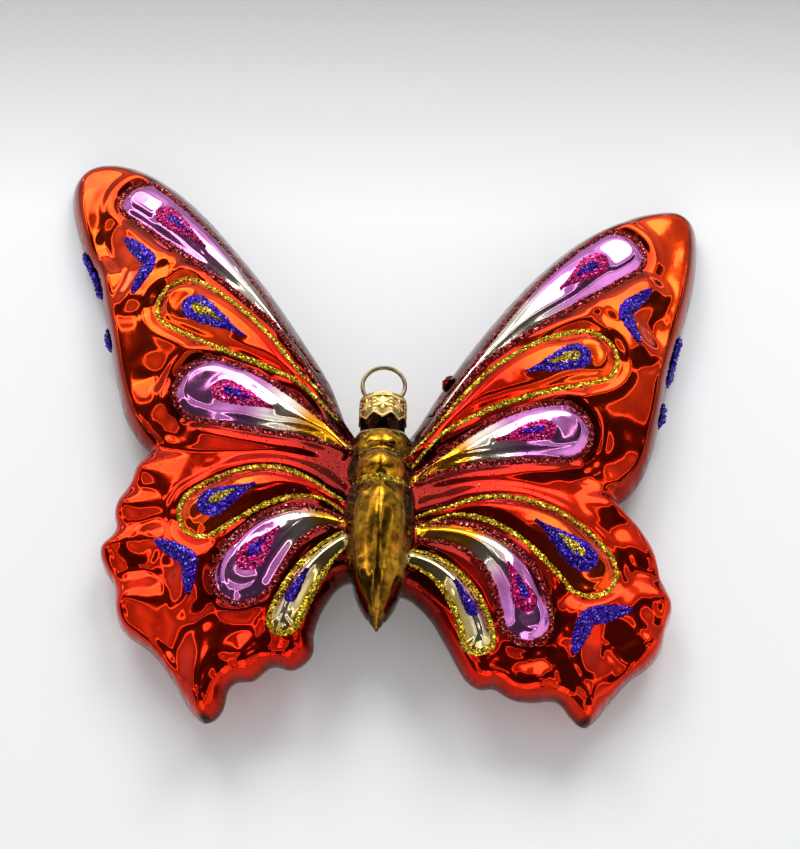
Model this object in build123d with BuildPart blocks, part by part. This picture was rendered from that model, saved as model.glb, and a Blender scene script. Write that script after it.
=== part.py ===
from build123d import *
from math import acos, cos, degrees, hypot, pi, radians, sin
import os

os.makedirs("parts", exist_ok=True)

# Driving dimensions, in millimetres and degrees
SPAN = 128.0
WING_DROOP = 10.0
WING_HALF_THICKNESS = 5.2
WING_CROWN_RADIUS = 320.0
EDGE_INSET = 2.0
WALL = 0.9
PAD_RISE = 0.8
GLUE_GAP = 0.1
GLITTER_RISE = 0.5
RIM_WIDTH = 1.3
PAD_MARGIN = 0.2
CHEVRON_WIDTH = 2.6
NECK_RADIUS = 4.3
NECK_WALL = 0.6
NECK_TOP = 17.6
NECK_FOOT = 9.0
CAP_CLEARANCE = 0.15
CAP_SHEET = 0.25
CAP_BOTTOM = 11.7
CAP_TOP = 18.25
CAP_TEETH = 8
CAP_TOOTH_DEPTH = 1.5
CAP_CORNER = 0.4
WIRE_DIAMETER = 0.76
WIRE_HOLE_DIAMETER = 1.3
LOOP_RADIUS = 3.85
LOOP_BEND_RADIUS = 1.2
LEG_OFFSET = 2.9
LEG_FOOT = 5.0
LEG_RISE = 0.3
BAND_WIDTH = 0.8
BAND_CLEARANCE = 0.6
BAND_SEAT = 0.5

# The plan is drawn on squares, 128 of them across the span, counted out from the body's middle line
# and up from the waist, where thorax and abdomen meet
SQUARE = SPAN / 128
LEFT, RIGHT = -1, 1
FRONT, BACK = 1, -1

# Wing outlines as shares of a square: along the front edge from the body to the tip, then back
UPPER_OUTLINE_SHARES = {
    LEFT: (
        (1.5, 7), (3.6, 9.6), (6.3, 13.4), (10.1, 23), (16.3, 33.6), (22.7, 43.8), (29.4, 53.1),
        (36.3, 62.1), (43.2, 69.6), (50.2, 75.3), (56, 78.1), (60.8, 78.8), (64.4, 77.4),
        (66.4, 73.5), (65.6, 66.5),
        (62.3, 57.4), (58.3, 49.4), (55.7, 41), (53.2, 32), (51, 24.4), (48.2, 16.9), (43.3, 10.8),
        (36, 7.6), (25, 6.2), (14, 4.5), (5, 0.5), (1.5, -1),
    ),
    RIGHT: (
        (1.5, 7), (3.6, 9.6), (6.3, 13.7), (12.1, 24.4), (20.2, 37.2), (29.2, 49.3), (38.6, 59.1),
        (48.1, 65.6), (55.8, 68.6), (59.8, 68.5), (62.5, 65.6), (62.6, 59), (61.2, 50.7), (59, 43),
        (56.5, 35.9), (54.1, 27.5), (52.2, 19.5), (49.6, 11.2), (46.9, 5.8), (42.8, 2), (34, 0.2),
        (25, 0.2), (14, -0.4), (5, -2.6), (1.5, -3.4),
    ),
}
LOWER_OUTLINE_SHARES = {
    LEFT: (
        (1.5, 3), (5, 5), (14, 9.2), (25, 11.2), (35, 12.4), (41.4, 11.2), (45, 8), (46.1, 4), (48, 1),
        (48.4, -2), (47.8, -5.2), (50.2, -8.2), (49.4, -11.6), (46.8, -15.6), (45.7, -21),
        (43.6, -24.2), (38.6, -27.8),
        (34.4, -32.8), (31.2, -37.6), (28, -40.1), (25.3, -37.8), (24.2, -33.6), (20.6, -33), (17.6, -30.8),
        (13.9, -31.5), (10.6, -28.8), (10.4, -24.6), (8.8, -20), (6.3, -16.8), (1.5, -14.4),
    ),
    RIGHT: (
        (1.5, 0), (5, 1.5), (14, 5.4), (25, 6.2), (34, 5.6), (40.4, 3.9), (44.3, 0.2), (47.7, -4),
        (49.4, -8),
        (50.1, -12.2), (51.8, -16.8), (50.3, -21.3), (49.3, -24.8), (47, -27.8), (43, -31), (39.6, -34.8),
        (36.9, -38), (34.8, -39.2), (32.6, -37.3), (30.6, -35.1), (26.5, -35.5), (22.8, -35.2),
        (20.2, -33.8),
        (17, -33.8), (14.4, -31.6), (11.6, -26.6), (8.8, -22.2), (5.6, -19.3), (1.5, -16.8),
    ),
}

# Middle of each wing, the way it points in degrees, its half length and its half breadth, in squares
UPPER_FRAME_SHARES = {LEFT: (29, 42, 52, 50, 19), RIGHT: (27, 36, 50, 46, 18)}
LOWER_FRAME_SHARES = {LEFT: (19, -14, -38, 33, 25), RIGHT: (20, -17, -38, 33, 25)}

# Cells: root, middle of the round head, head radius, bend and root width (as shares of length and radius)
CELL_SHARES = {
    "leading": {
        LEFT: ((5.5, 12.4), (49.8, 66), 4.3, 0.044, -0.28),
        RIGHT: ((7.4, 12.4), (44.9, 54.3), 5.1, 0.044, -0.13),
    },
    "middle": {
        LEFT: ((2.3, 8.9), (38.1, 39.7), 5.3, 0.039, -0.44),
        RIGHT: ((5, 5.5), (37.6, 29.7), 5.4, 0.085, 0.05),
    },
    "rear": {
        LEFT: ((3.6, 6.9), (32.1, 21.1), 6.1, 0.031, 0.12),
        RIGHT: ((5.5, 1.9), (32, 13.8), 5.4, 0.056, 0.13),
    },
    "shoulder": {
        LEFT: ((3.3, -6.3), (29.9, -3.5), 4.9, 0.21, -0.02),
        RIGHT: ((3.4, -8.3), (35.5, -12.5), 5.1, 0.222, -0.06),
    },
    "hind": {
        LEFT: ((0.7, -9.9), (22, -15.5), 5.6, 0.285, -0.02),
        RIGHT: ((5.6, -8.6), (24.4, -22.4), 4.4, 0.249, 0.37),
    },
    "inner": {
        LEFT: ((-1.9, -6.9), (14.8, -24), 2.4, 0.132, 0.4),
        RIGHT: ((-3.8, -13.8), (16.3, -26.5), 2.5, 0.248, 0.35),
    },
}
UPPER_CELLS = ("leading", "middle", "rear")
LOWER_CELLS = ("shoulder", "hind", "inner")

# Share of a cell's length, from the root, where its glitter rim starts
RIM_START_SHARES = {
    "leading": 0.16, "middle": 0.2, "rear": 0.2, "shoulder": 0.2, "hind": 0.24, "inner": 0.4,
}
# Eye spots: place of the head and of the tail along the cell, and head radius as a share of the cell's
EYE_SHARES = {
    "leading": (0.88, 0.7, 0.5), "middle": (0.93, 0.67, 0.5), "rear": (0.87, 0.55, 0.4),
    "shoulder": (0.95, 0.68, 0.56), "hind": (0.92, 0.65, 0.48), "inner": (0.86, 0.64, 0.44),
}
# The pupil's head and tail along the cell, and its radius as a share of the eye's
PUPIL_SHARES = {
    "leading": (0.85, 0.77, 0.5), "middle": (0.91, 0.78, 0.5), "rear": (0.83, 0.7, 0.5),
    "shoulder": (0.92, 0.81, 0.5), "hind": (0.88, 0.77, 0.5),
}
# Chevrons: one end, the vertex and the other end, in squares
UPPER_CHEVRON_SHARES = {
    LEFT: ((52, 56.6), (45.4, 49.8), (48.4, 42.6)),
    RIGHT: ((50.4, 46), (44.6, 40.3), (47.4, 33.4)),
}
LOWER_CHEVRON_SHARES = {
    LEFT: ((38.6, -8.6), (31.6, -12.8), (31.4, -19.4)),
    RIGHT: ((42.8, -19.4), (35, -21.3), (32, -28.4)),
}

# Body stations from the neck to the tail, in squares: place along the body, half width and half depth
HEAD_STATION_SHARES = ((11.3, 4.5, 4.8), (8.6, 4.8, 6.2), (5.9, 4.5, 6.5))
THORAX_STATION_SHARES = ((5.9, 4.4, 6.4), (3, 4.9, 7.6), (0, 4.5, 7.2))
ABDOMEN_STATION_SHARES = (
    (0, 4.4, 7.2), (-5.5, 5.6, 8.8), (-13, 5, 8.6), (-19.5, 3.2, 5.8), (-24.8, 0.3, 0.5),
)

# Sizes that follow from the ones above
FRONT_RISE = WING_HALF_THICKNESS + PAD_RISE + GLUE_GAP + GLITTER_RISE
CAP_INSIDE_RADIUS = NECK_RADIUS + CAP_CLEARANCE
CAP_RADIUS = CAP_INSIDE_RADIUS + CAP_SHEET
BAND_LEVEL = WING_HALF_THICKNESS + BAND_CLEARANCE
STEPS_ALONG_CELL = (0, 0.35, 0.7, 1)
HEAD_ANGLES = (45, 90, 135)
TEARDROP_POWER = 1.6
ROOT_HALF_WIDTH = 0.3
ROOT_STEP = 0.01


def wing_plane(side):
    """Middle plane of a wing, drooping away from the body, with its normal up."""
    droop = radians(WING_DROOP)
    return Plane(
        origin=(0, 0, 0),
        x_dir=(cos(droop), 0, -side * sin(droop)),
        z_dir=(side * sin(droop), 0, cos(droop)),
    )


def drawn(side, point):
    """A point of the squared drawing, in the wing plane's own axes."""
    return (side * point[0] * SQUARE, point[1] * SQUARE)


def inset_outline(shares, frame, side, inset):
    """The wing outline drawn in by about one inset all round, measured along and across the wing."""
    middle_out, middle_up, heading, half_length, half_breadth = frame
    along = (cos(radians(heading)), sin(radians(heading)))
    keep_along = 1 - inset / (half_length * SQUARE)
    keep_across = 1 - inset / (half_breadth * SQUARE)
    points = []
    for out, up in shares:
        reach = (out - middle_out) * along[0] + (up - middle_up) * along[1]
        offset_across = (up - middle_up) * along[0] - (out - middle_out) * along[1]
        reach *= keep_along
        offset_across *= keep_across
        new_out = middle_out + reach * along[0] - offset_across * along[1]
        new_up = middle_up + reach * along[1] + offset_across * along[0]
        points.append(drawn(side, (new_out, new_up)))
    return points


def crown(side, frame, face, radius_change):
    """Where the big sphere of a wing's front or back face lies, and its radius."""
    middle = drawn(side, frame[:2])
    depth = face * (WING_HALF_THICKNESS - WING_CROWN_RADIUS)
    return wing_plane(side).location * Location((*middle, depth)), WING_CROWN_RADIUS + radius_change


def cut_to_crown(side, frame, face, radius_change, mode):
    """Trims the part in hand with a wing's front or back sphere."""
    place, radius = crown(side, frame, face, radius_change)
    with Locations(place):
        Sphere(radius, mode=mode)


def make_wing(shares, frame, side, wall):
    """One wing as a solid: sloping edges, domed front and back; wall draws it in for the hollow."""
    with BuildPart() as wing:
        for level in (-FRONT_RISE, 0, FRONT_RISE):
            inset = wall + EDGE_INSET * abs(level) / WING_HALF_THICKNESS
            with BuildSketch(wing_plane(side).offset(level)):
                with BuildLine():
                    Spline(*inset_outline(shares, frame, side, inset), periodic=True)
                make_face()
        loft(ruled=True)
        for face in (FRONT, BACK):
            cut_to_crown(side, frame, face, -wall, Mode.INTERSECT)
    return wing.part


def cell_line(cell, share):
    """Point and unit direction on a cell's middle line."""
    root, head, radius, bend, root_width = cell
    run = (head[0] - root[0], head[1] - root[1])
    knee = (
        root[0] + run[0] / 2 - 2 * bend * run[1],
        root[1] + run[1] / 2 + 2 * bend * run[0],
    )
    point = [
        (1 - share) ** 2 * a + 2 * share * (1 - share) * k + share ** 2 * b
        for a, k, b in zip(root, knee, head)
    ]
    heading = [(1 - share) * (k - a) + share * (b - k) for a, k, b in zip(root, knee, head)]
    length = hypot(*heading)
    return point, [part / length for part in heading]


def half_width(cell, share):
    """Half the cell's width at a share of its length, in squares."""
    radius, root_width = cell[2], cell[4]
    return radius * (root_width + (1 - root_width) * sin(share * pi / 2) ** TEARDROP_POWER)


def teardrop_points(cell, grow, start):
    """Points round a cell's outline, grown by an amount in squares, from its root round the head."""
    first = start
    while half_width(cell, first) + grow < ROOT_HALF_WIDTH:
        first += ROOT_STEP
    left_side, right_side = [], []
    for step in STEPS_ALONG_CELL:
        share = first + (1 - first) * step
        point, heading = cell_line(cell, share)
        width = half_width(cell, share) + grow
        left_side.append((point[0] - heading[1] * width, point[1] + heading[0] * width))
        right_side.append((point[0] + heading[1] * width, point[1] - heading[0] * width))
    point, heading = cell_line(cell, 1)
    width = cell[2] + grow
    round_head = []
    for angle in HEAD_ANGLES:
        ahead = width * sin(radians(angle))
        aside = width * cos(radians(angle))
        out = point[0] + heading[0] * ahead - heading[1] * aside
        up = point[1] + heading[1] * ahead + heading[0] * aside
        round_head.append((out, up))
    return left_side + round_head + right_side[::-1]


def draw_teardrop(side, points, mode=Mode.ADD):
    """Fills a teardrop in the sketch in hand."""
    corners = [drawn(side, point) for point in points]
    with BuildLine() as outline:
        Spline(*corners)
        Line(corners[-1], corners[0])
    make_face(outline.edges(), mode=mode)


def make_padded_wing(shares, frame, side, cells):
    """A wing with the raised glass of its cells, inside their rims, on both faces."""
    plain_wing = make_wing(shares, frame, side, 0)
    with BuildPart() as wing:
        with BuildSketch(wing_plane(side)):
            for name in cells:
                grow = -(RIM_WIDTH / 2 + PAD_MARGIN) / SQUARE
                draw_teardrop(side, teardrop_points(CELL_SHARES[name][side], grow, RIM_START_SHARES[name]))
        extrude(amount=FRONT_RISE, both=True)
        for face in (FRONT, BACK):
            cut_to_crown(side, frame, face, PAD_RISE, Mode.INTERSECT)
        add(plain_wing)
    return wing.part


def eye_cell(cell, head_share, tail_share, radius):
    """A small teardrop on a cell's middle line, as a straight cell of its own."""
    head = cell_line(cell, head_share)[0]
    tail = cell_line(cell, tail_share)[0]
    return (tail, head, radius, 0, ROOT_HALF_WIDTH / radius)


def make_deposit(frame_shares, draw, face, seat):
    """Left and right glitter deposits of one kind, seated on the glass by a film of glue."""
    solids = []
    for side in (LEFT, RIGHT):
        with BuildPart() as deposit:
            with BuildSketch(wing_plane(side)):
                draw(side)
            extrude(amount=face * FRONT_RISE)
            cut_to_crown(side, frame_shares[side], face, seat + GLUE_GAP + GLITTER_RISE, Mode.INTERSECT)
            cut_to_crown(side, frame_shares[side], face, seat + GLUE_GAP, Mode.SUBTRACT)
        solids.append(deposit.part)
    return solids


def draw_rim(name, side):
    """Ring of glitter round a cell."""
    cell = CELL_SHARES[name][side]
    half = RIM_WIDTH / 2 / SQUARE
    start = RIM_START_SHARES[name]
    draw_teardrop(side, teardrop_points(cell, half, start))
    draw_teardrop(side, teardrop_points(cell, -half, start), Mode.SUBTRACT)


def draw_eye(name, side):
    """Eye spot of a cell, left open in the middle where it has a pupil."""
    cell = CELL_SHARES[name][side]
    head, tail, share = EYE_SHARES[name]
    radius = share * cell[2]
    draw_teardrop(side, teardrop_points(eye_cell(cell, head, tail, radius), 0, 0))
    if name in PUPIL_SHARES:
        draw_pupil(name, side, GLUE_GAP / SQUARE, Mode.SUBTRACT)


def draw_pupil(name, side, grow=0, mode=Mode.ADD):
    """Pupil of an eye spot."""
    cell = CELL_SHARES[name][side]
    head, tail, share = PUPIL_SHARES[name]
    radius = share * EYE_SHARES[name][2] * cell[2]
    draw_teardrop(side, teardrop_points(eye_cell(cell, head, tail, radius), grow, 0), mode)


def draw_chevron(shares, side):
    """Chevron stroke with round ends."""
    with BuildLine(mode=Mode.PRIVATE) as middle:
        Polyline(*[drawn(side, point) for point in shares[side]])
    with BuildLine() as outline:
        offset(middle.line, amount=CHEVRON_WIDTH / 2)
    make_face(outline.edges())


def in_squares(shares):
    """Body stations from the squared drawing, in the part's own units."""
    return [tuple(size * SQUARE for size in station) for station in shares]


def body_plane(along):
    """Plane across the body at a place along it, with x across and y up."""
    return Plane(origin=(0, along, 0), x_dir=(1, 0, 0), z_dir=(0, -1, 0))


def loft_rounds(stations, wall):
    """Body segment with oval sections, in the part in hand."""
    sections = []
    for along, across, deep in stations:
        with BuildSketch(body_plane(along)) as section:
            Ellipse(across - wall, deep - wall)
        sections.append(section.sketch)
    loft(sections)


def drawn_in(stations, wall):
    """Body stations with a wall's thickness taken off, short of the tail."""
    return [(along, across - wall, deep - wall) for along, across, deep in stations[:-1]]


def loft_keel(stations):
    """Abdomen with pointed oval sections, so that a keel runs along its front and its back."""
    sections = []
    for along, across, deep in stations:
        with BuildSketch(body_plane(along)) as section:
            with BuildLine():
                ThreePointArc((0, deep), (across, 0), (0, -deep))
                ThreePointArc((0, -deep), (-across, 0), (0, deep))
            make_face()
        sections.append(section.sketch)
    loft(sections)


def cap_cutter_plane(turn):
    """Plane along the neck, turned about it, in which a tooth gap is drawn."""
    return Plane(
        origin=(0, 0, 0),
        x_dir=(cos(radians(turn)), 0, -sin(radians(turn))),
        z_dir=(sin(radians(turn)), 0, cos(radians(turn))),
    )


HEAD_STATIONS = in_squares(HEAD_STATION_SHARES)
THORAX_STATIONS = in_squares(THORAX_STATION_SHARES)
ABDOMEN_STATIONS = in_squares(ABDOMEN_STATION_SHARES)

pieces = {}
outer_wings = []
hollows = []
for wing_side in (LEFT, RIGHT):
    for wing_shares, wing_frames, wing_cells in (
        (UPPER_OUTLINE_SHARES, UPPER_FRAME_SHARES, UPPER_CELLS),
        (LOWER_OUTLINE_SHARES, LOWER_FRAME_SHARES, LOWER_CELLS),
    ):
        drawing = wing_shares[wing_side], wing_frames[wing_side], wing_side
        outer_wings.append(make_padded_wing(*drawing, wing_cells))
        hollows.append(make_wing(*drawing, WALL))

# The body's hollow, from the tail to the open neck
with BuildPart() as body_hollow:
    loft_rounds(HEAD_STATIONS, WALL)
    loft_rounds(THORAX_STATIONS, WALL)
    loft_keel(drawn_in(ABDOMEN_STATIONS, WALL))
    with BuildSketch(body_plane(NECK_FOOT)):
        Circle(NECK_RADIUS - NECK_WALL)
    extrude(amount=NECK_FOOT - NECK_TOP)

# Glass: four wings and the body, hollow, with an open neck
with BuildPart() as glass_shell:
    loft_rounds(HEAD_STATIONS, 0)
    loft_rounds(THORAX_STATIONS, 0)
    loft_keel(ABDOMEN_STATIONS)
    with BuildSketch(body_plane(NECK_FOOT)):
        Circle(NECK_RADIUS)
    extrude(amount=NECK_FOOT - NECK_TOP)
    add(outer_wings)
    add([body_hollow.part, *hollows], mode=Mode.SUBTRACT)
pieces["glass_shell"] = glass_shell.part

# Cap: thin stamped cup over the neck, with a toothed edge and two holes for the wire
with BuildPart() as cap:
    with BuildSketch(Plane.XY):
        with BuildLine():
            Polyline(
                (0, CAP_TOP), (CAP_RADIUS, CAP_TOP), (CAP_RADIUS, CAP_BOTTOM),
                (CAP_INSIDE_RADIUS, CAP_BOTTOM),
                (CAP_INSIDE_RADIUS, CAP_TOP - CAP_SHEET), (0, CAP_TOP - CAP_SHEET), close=True,
            )
        make_face()
    revolve(axis=Axis.Y)
    fillet(cap.edges().filter_by(GeomType.CIRCLE).group_by(Axis.Y)[-1], CAP_CORNER)
    gap_half_width = CAP_RADIUS * sin(pi / CAP_TEETH)
    for gap in range(CAP_TEETH // 2):
        with BuildSketch(cap_cutter_plane((gap + 1 / 2) * 360 / CAP_TEETH)):
            with BuildLine():
                Polyline(
                    (-gap_half_width, CAP_BOTTOM),
                    (0, CAP_BOTTOM + CAP_TOOTH_DEPTH),
                    (gap_half_width, CAP_BOTTOM),
                    close=True,
                )
            make_face()
        extrude(amount=2 * CAP_RADIUS, both=True, mode=Mode.SUBTRACT)
    with BuildSketch(body_plane(CAP_TOP)):
        with Locations((-LEG_OFFSET, 0), (LEG_OFFSET, 0)):
            Circle(WIRE_HOLE_DIAMETER / 2)
    extrude(amount=2 * CAP_SHEET, both=True, mode=Mode.SUBTRACT)
pieces["cap"] = cap.part

# Hanger: one wire, a loop that narrows into two legs inside the neck
with BuildPart() as hanger_wire:
    swing = degrees(acos((LEG_OFFSET + LOOP_BEND_RADIUS) / (LOOP_RADIUS + LOOP_BEND_RADIUS)))
    with BuildLine():
        right_leg = Line((LEG_OFFSET, LEG_FOOT), (LEG_OFFSET, CAP_TOP + LEG_RISE))
        flare = JernArc(right_leg @ 1, right_leg % 1, LOOP_BEND_RADIUS, -swing)
        loop = JernArc(flare @ 1, flare % 1, LOOP_RADIUS, 180 + 2 * swing)
        closing = JernArc(loop @ 1, loop % 1, LOOP_BEND_RADIUS, -swing)
        Line(closing @ 1, (-LEG_OFFSET, LEG_FOOT))
    with BuildSketch(Plane(origin=right_leg @ 0, z_dir=right_leg % 0)):
        Circle(WIRE_DIAMETER / 2)
    sweep()
pieces["hanger_wire"] = hanger_wire.part

# Bands of glitter across the front and the back of the body, below the head and at the waist. They end
# above the wings, at the band level
with BuildPart() as body_bands:
    for along, across, deep in (HEAD_STATIONS[-1], THORAX_STATIONS[-1]):
        with BuildSketch(body_plane(along + BAND_WIDTH / 2)):
            Ellipse(across + BAND_SEAT + GLITTER_RISE, deep + BAND_SEAT + GLITTER_RISE)
            Ellipse(across + BAND_SEAT, deep + BAND_SEAT, mode=Mode.SUBTRACT)
        extrude(amount=BAND_WIDTH)
    Box(SPAN, SPAN, 2 * BAND_LEVEL, mode=Mode.SUBTRACT)
pieces["body_bands"] = body_bands.part

# Glitter on the front and the back of the wings: what is laid, how it is drawn and how high it sits
DEPOSIT_KINDS = (("rim", draw_rim, 0), ("eye", draw_eye, PAD_RISE), ("pupil", draw_pupil, PAD_RISE))
for face_name, face in (("front", FRONT), ("back", BACK)):
    for frames, cells in ((UPPER_FRAME_SHARES, UPPER_CELLS), (LOWER_FRAME_SHARES, LOWER_CELLS)):
        for cell_name in cells:
            for kind, draw, seat in DEPOSIT_KINDS:
                if kind == "pupil" and cell_name not in PUPIL_SHARES:
                    continue
                with BuildPart() as deposit:
                    add(make_deposit(frames, lambda side: draw(cell_name, side), face, seat))
                pieces[f"{face_name}_{cell_name}_{kind}"] = deposit.part
    for wing_name, frames, shares in (
        ("upper", UPPER_FRAME_SHARES, UPPER_CHEVRON_SHARES),
        ("lower", LOWER_FRAME_SHARES, LOWER_CHEVRON_SHARES),
    ):
        with BuildPart() as deposit:
            add(make_deposit(frames, lambda side: draw_chevron(shares, side), face, 0))
        pieces[f"{face_name}_{wing_name}_chevron"] = deposit.part

# The finished ornament lies on its back, middled over the origin
box = Compound(list(pieces.values())).bounding_box()
stand = Location((-box.center().X, -box.center().Y, -box.min.Z))
print("body axis now at", stand.position)
for name, part in pieces.items():
    part.move(stand)
    part.label = name
    export_step(part, f"parts/{name}.step")
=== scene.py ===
"""A blown-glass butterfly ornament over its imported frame: silvered glass, glitter, cap and hanging wire."""
import math

import bpy
import numpy as np
from bpy.props import FloatProperty, IntProperty, PointerProperty, StringProperty
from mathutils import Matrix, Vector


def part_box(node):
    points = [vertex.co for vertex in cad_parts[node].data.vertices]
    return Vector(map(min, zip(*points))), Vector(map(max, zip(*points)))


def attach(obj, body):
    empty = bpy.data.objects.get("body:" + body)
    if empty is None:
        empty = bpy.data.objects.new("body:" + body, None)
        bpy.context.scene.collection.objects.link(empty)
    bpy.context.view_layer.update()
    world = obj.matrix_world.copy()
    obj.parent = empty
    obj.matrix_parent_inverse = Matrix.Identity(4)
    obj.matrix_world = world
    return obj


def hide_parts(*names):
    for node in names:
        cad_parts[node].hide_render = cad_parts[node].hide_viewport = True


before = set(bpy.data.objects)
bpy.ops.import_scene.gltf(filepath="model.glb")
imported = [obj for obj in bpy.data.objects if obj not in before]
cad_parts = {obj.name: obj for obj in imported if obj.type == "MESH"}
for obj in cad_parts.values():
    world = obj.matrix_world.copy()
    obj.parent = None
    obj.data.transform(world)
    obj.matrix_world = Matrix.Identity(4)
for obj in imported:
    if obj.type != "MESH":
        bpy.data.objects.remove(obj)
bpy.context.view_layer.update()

bl_info = {
    "name": "Blown glass butterfly",
    "version": (1, 0, 0),
    "blender": (4, 5, 0),
    "location": "View3D > Sidebar > Ornament",
    "description": "Builds a silvered glass butterfly ornament over its packed frame",
    "category": "Add Mesh",
}

# Shapes are drawn in millimetres from the waist of the body, and set in the row frame by the cap's place
MM = 0.001
CAP_TOP = 18.25
CAP_LOW, CAP_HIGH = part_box("cap")
AXIS = np.array([(CAP_LOW.x + CAP_HIGH.x) / 2, CAP_HIGH.y - CAP_TOP * MM, (CAP_LOW.z + CAP_HIGH.z) / 2])
# The surface that the ornament lies on, and how softly its back settles on it
FLOOR = -AXIS[2] / MM
REST = 0.5
LEFT, RIGHT = -1, 1
FACES = {"front": 1, "back": -1}

# Wing outlines: out from the body's middle line and up from the waist
OUTLINES = {
    ("upper", LEFT): (
        (1.5, 7), (3.6, 9.6), (6.3, 13.4), (10.1, 23), (16.3, 33.6), (22.7, 43.8), (29.4, 53.1), (36.3, 62.1),
        (43.2, 69.6), (50.2, 75.3), (56, 78.1), (60.8, 78.8), (64.4, 77.4), (66.4, 73.5), (65.6, 66.5),
        (62.3, 57.4), (58.3, 49.4), (55.7, 41), (53.2, 32), (51, 24.4), (48.2, 16.9), (43.3, 10.8),
        (36, 7.6), (25, 6.2), (14, 4.5), (5, 0.5), (1.5, -1),
    ),
    ("upper", RIGHT): (
        (1.5, 7), (3.6, 9.6), (6.3, 13.7), (12.1, 24.4), (20.2, 37.2), (29.2, 49.3), (38.6, 59.1),
        (48.1, 65.6), (55.8, 68.6), (59.8, 68.5), (62.5, 65.6), (62.6, 59), (61.2, 50.7), (59, 43),
        (56.5, 35.9), (54.1, 27.5), (52.2, 19.5), (49.6, 11.2), (46.9, 5.8), (42.8, 2), (34, 0.2),
        (25, 0.2), (14, -0.4), (5, -2.6), (1.5, -3.4),
    ),
    ("lower", LEFT): (
        (1.5, 3), (5, 5), (14, 9.2), (25, 11.2), (35, 12.4), (41.4, 11.2), (45, 8), (46.1, 4), (48, 1),
        (48.4, -2), (47.8, -5.2), (50.2, -8.2), (49.4, -11.6), (46.8, -15.6), (45.7, -21), (43.6, -24.2),
        (38.6, -27.8), (34.4, -32.8), (31.2, -37.6), (28, -40.1), (25.3, -37.8), (24.2, -33.6), (20.6, -33),
        (17.6, -30.8), (13.9, -31.5), (10.6, -28.8), (10.4, -24.6), (8.8, -20), (6.3, -16.8), (1.5, -14.4),
    ),
    ("lower", RIGHT): (
        (1.5, 0), (5, 1.5), (14, 5.4), (25, 6.2), (34, 5.6), (40.4, 3.9), (44.3, 0.2), (47.7, -4),
        (49.4, -8), (50.1, -12.2), (51.8, -16.8), (50.3, -21.3), (49.3, -24.8), (47, -27.8), (43, -31),
        (39.6, -34.8), (36.9, -38), (34.8, -39.2), (32.6, -37.3), (30.6, -35.1), (26.5, -35.5), (22.8, -35.2),
        (20.2, -33.8), (17, -33.8), (14.4, -31.6), (11.6, -26.6), (8.8, -22.2), (5.6, -19.3), (1.5, -16.8),
    ),
}
# Where each wing is thickest
CROWN_MIDDLES = {
    ("upper", LEFT): (29, 42), ("upper", RIGHT): (27, 36),
    ("lower", LEFT): (19, -14), ("lower", RIGHT): (20, -17),
}
# Cells: root, middle of the round head, head radius, bend and root width as shares of length and radius
CELLS = {
    "leading": {
        LEFT: ((5.5, 12.4), (49.8, 66), 4.3, 0.044, -0.28),
        RIGHT: ((7.4, 12.4), (44.9, 54.3), 5.1, 0.044, -0.13),
    },
    "middle": {
        LEFT: ((2.3, 8.9), (38.1, 39.7), 5.3, 0.039, -0.44),
        RIGHT: ((5, 5.5), (37.6, 29.7), 5.4, 0.085, 0.05),
    },
    "rear": {
        LEFT: ((3.6, 6.9), (32.1, 21.1), 6.1, 0.031, 0.12),
        RIGHT: ((5.5, 1.9), (32, 13.8), 5.4, 0.056, 0.13),
    },
    "shoulder": {
        LEFT: ((3.3, -6.3), (29.9, -3.5), 4.9, 0.21, -0.02),
        RIGHT: ((3.4, -8.3), (35.5, -12.5), 5.1, 0.222, -0.06),
    },
    "hind": {
        LEFT: ((0.7, -9.9), (22, -15.5), 5.6, 0.285, -0.02),
        RIGHT: ((5.6, -8.6), (24.4, -22.4), 4.4, 0.249, 0.37),
    },
    "inner": {
        LEFT: ((-1.9, -6.9), (14.8, -24), 2.4, 0.132, 0.4),
        RIGHT: ((-3.8, -13.8), (16.3, -26.5), 2.5, 0.248, 0.35),
    },
}
WING_CELLS = {"upper": ("leading", "middle", "rear"), "lower": ("shoulder", "hind", "inner")}
TEARDROP_POWER = 1.6
TAIL_HALF_WIDTH = 0.3
# Where along its cell a rim leaves the body, and half the width of a cell's drawn-out tail
RIM_STARTS = {"leading": -0.04, "middle": -0.08, "rear": -0.08, "shoulder": -0.04, "hind": 0.0, "inner": 0.15}
TAIL_SPREAD = 0.8
# Eye spots: head and tail along the cell, radius as a share of the cell's; pupils the same, of the eye's
EYES = {
    "leading": (0.88, 0.7, 0.5), "middle": (0.93, 0.67, 0.5), "rear": (0.87, 0.55, 0.4),
    "shoulder": (0.95, 0.68, 0.56), "hind": (0.92, 0.65, 0.48), "inner": (0.86, 0.64, 0.44),
}
PUPILS = {
    "leading": (0.85, 0.77, 0.5), "middle": (0.91, 0.78, 0.5), "rear": (0.83, 0.7, 0.5),
    "shoulder": (0.92, 0.81, 0.5), "hind": (0.88, 0.77, 0.5),
}
# Glitter colours of each cell: rim, eye, pupil
GLITTER_OF = {
    "leading": ("red", "magenta", "purple"), "middle": ("gold", "purple", "gold"),
    "rear": ("red", "magenta", "purple"), "shoulder": ("gold", "purple", "gold"),
    "hind": ("red", "magenta", "purple"), "inner": ("gold", "purple", None),
}
CHEVRONS = {
    "upper": {
        LEFT: ((52, 56.6), (45.4, 49.8), (48.4, 42.6)), RIGHT: ((50.4, 46), (44.6, 40.3), (47.4, 33.4)),
    },
    "lower": {
        LEFT: ((38.6, -8.6), (31.6, -12.8), (31.4, -19.4)), RIGHT: ((42.8, -19.4), (35, -21.3), (32, -28.4)),
    },
}
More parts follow.
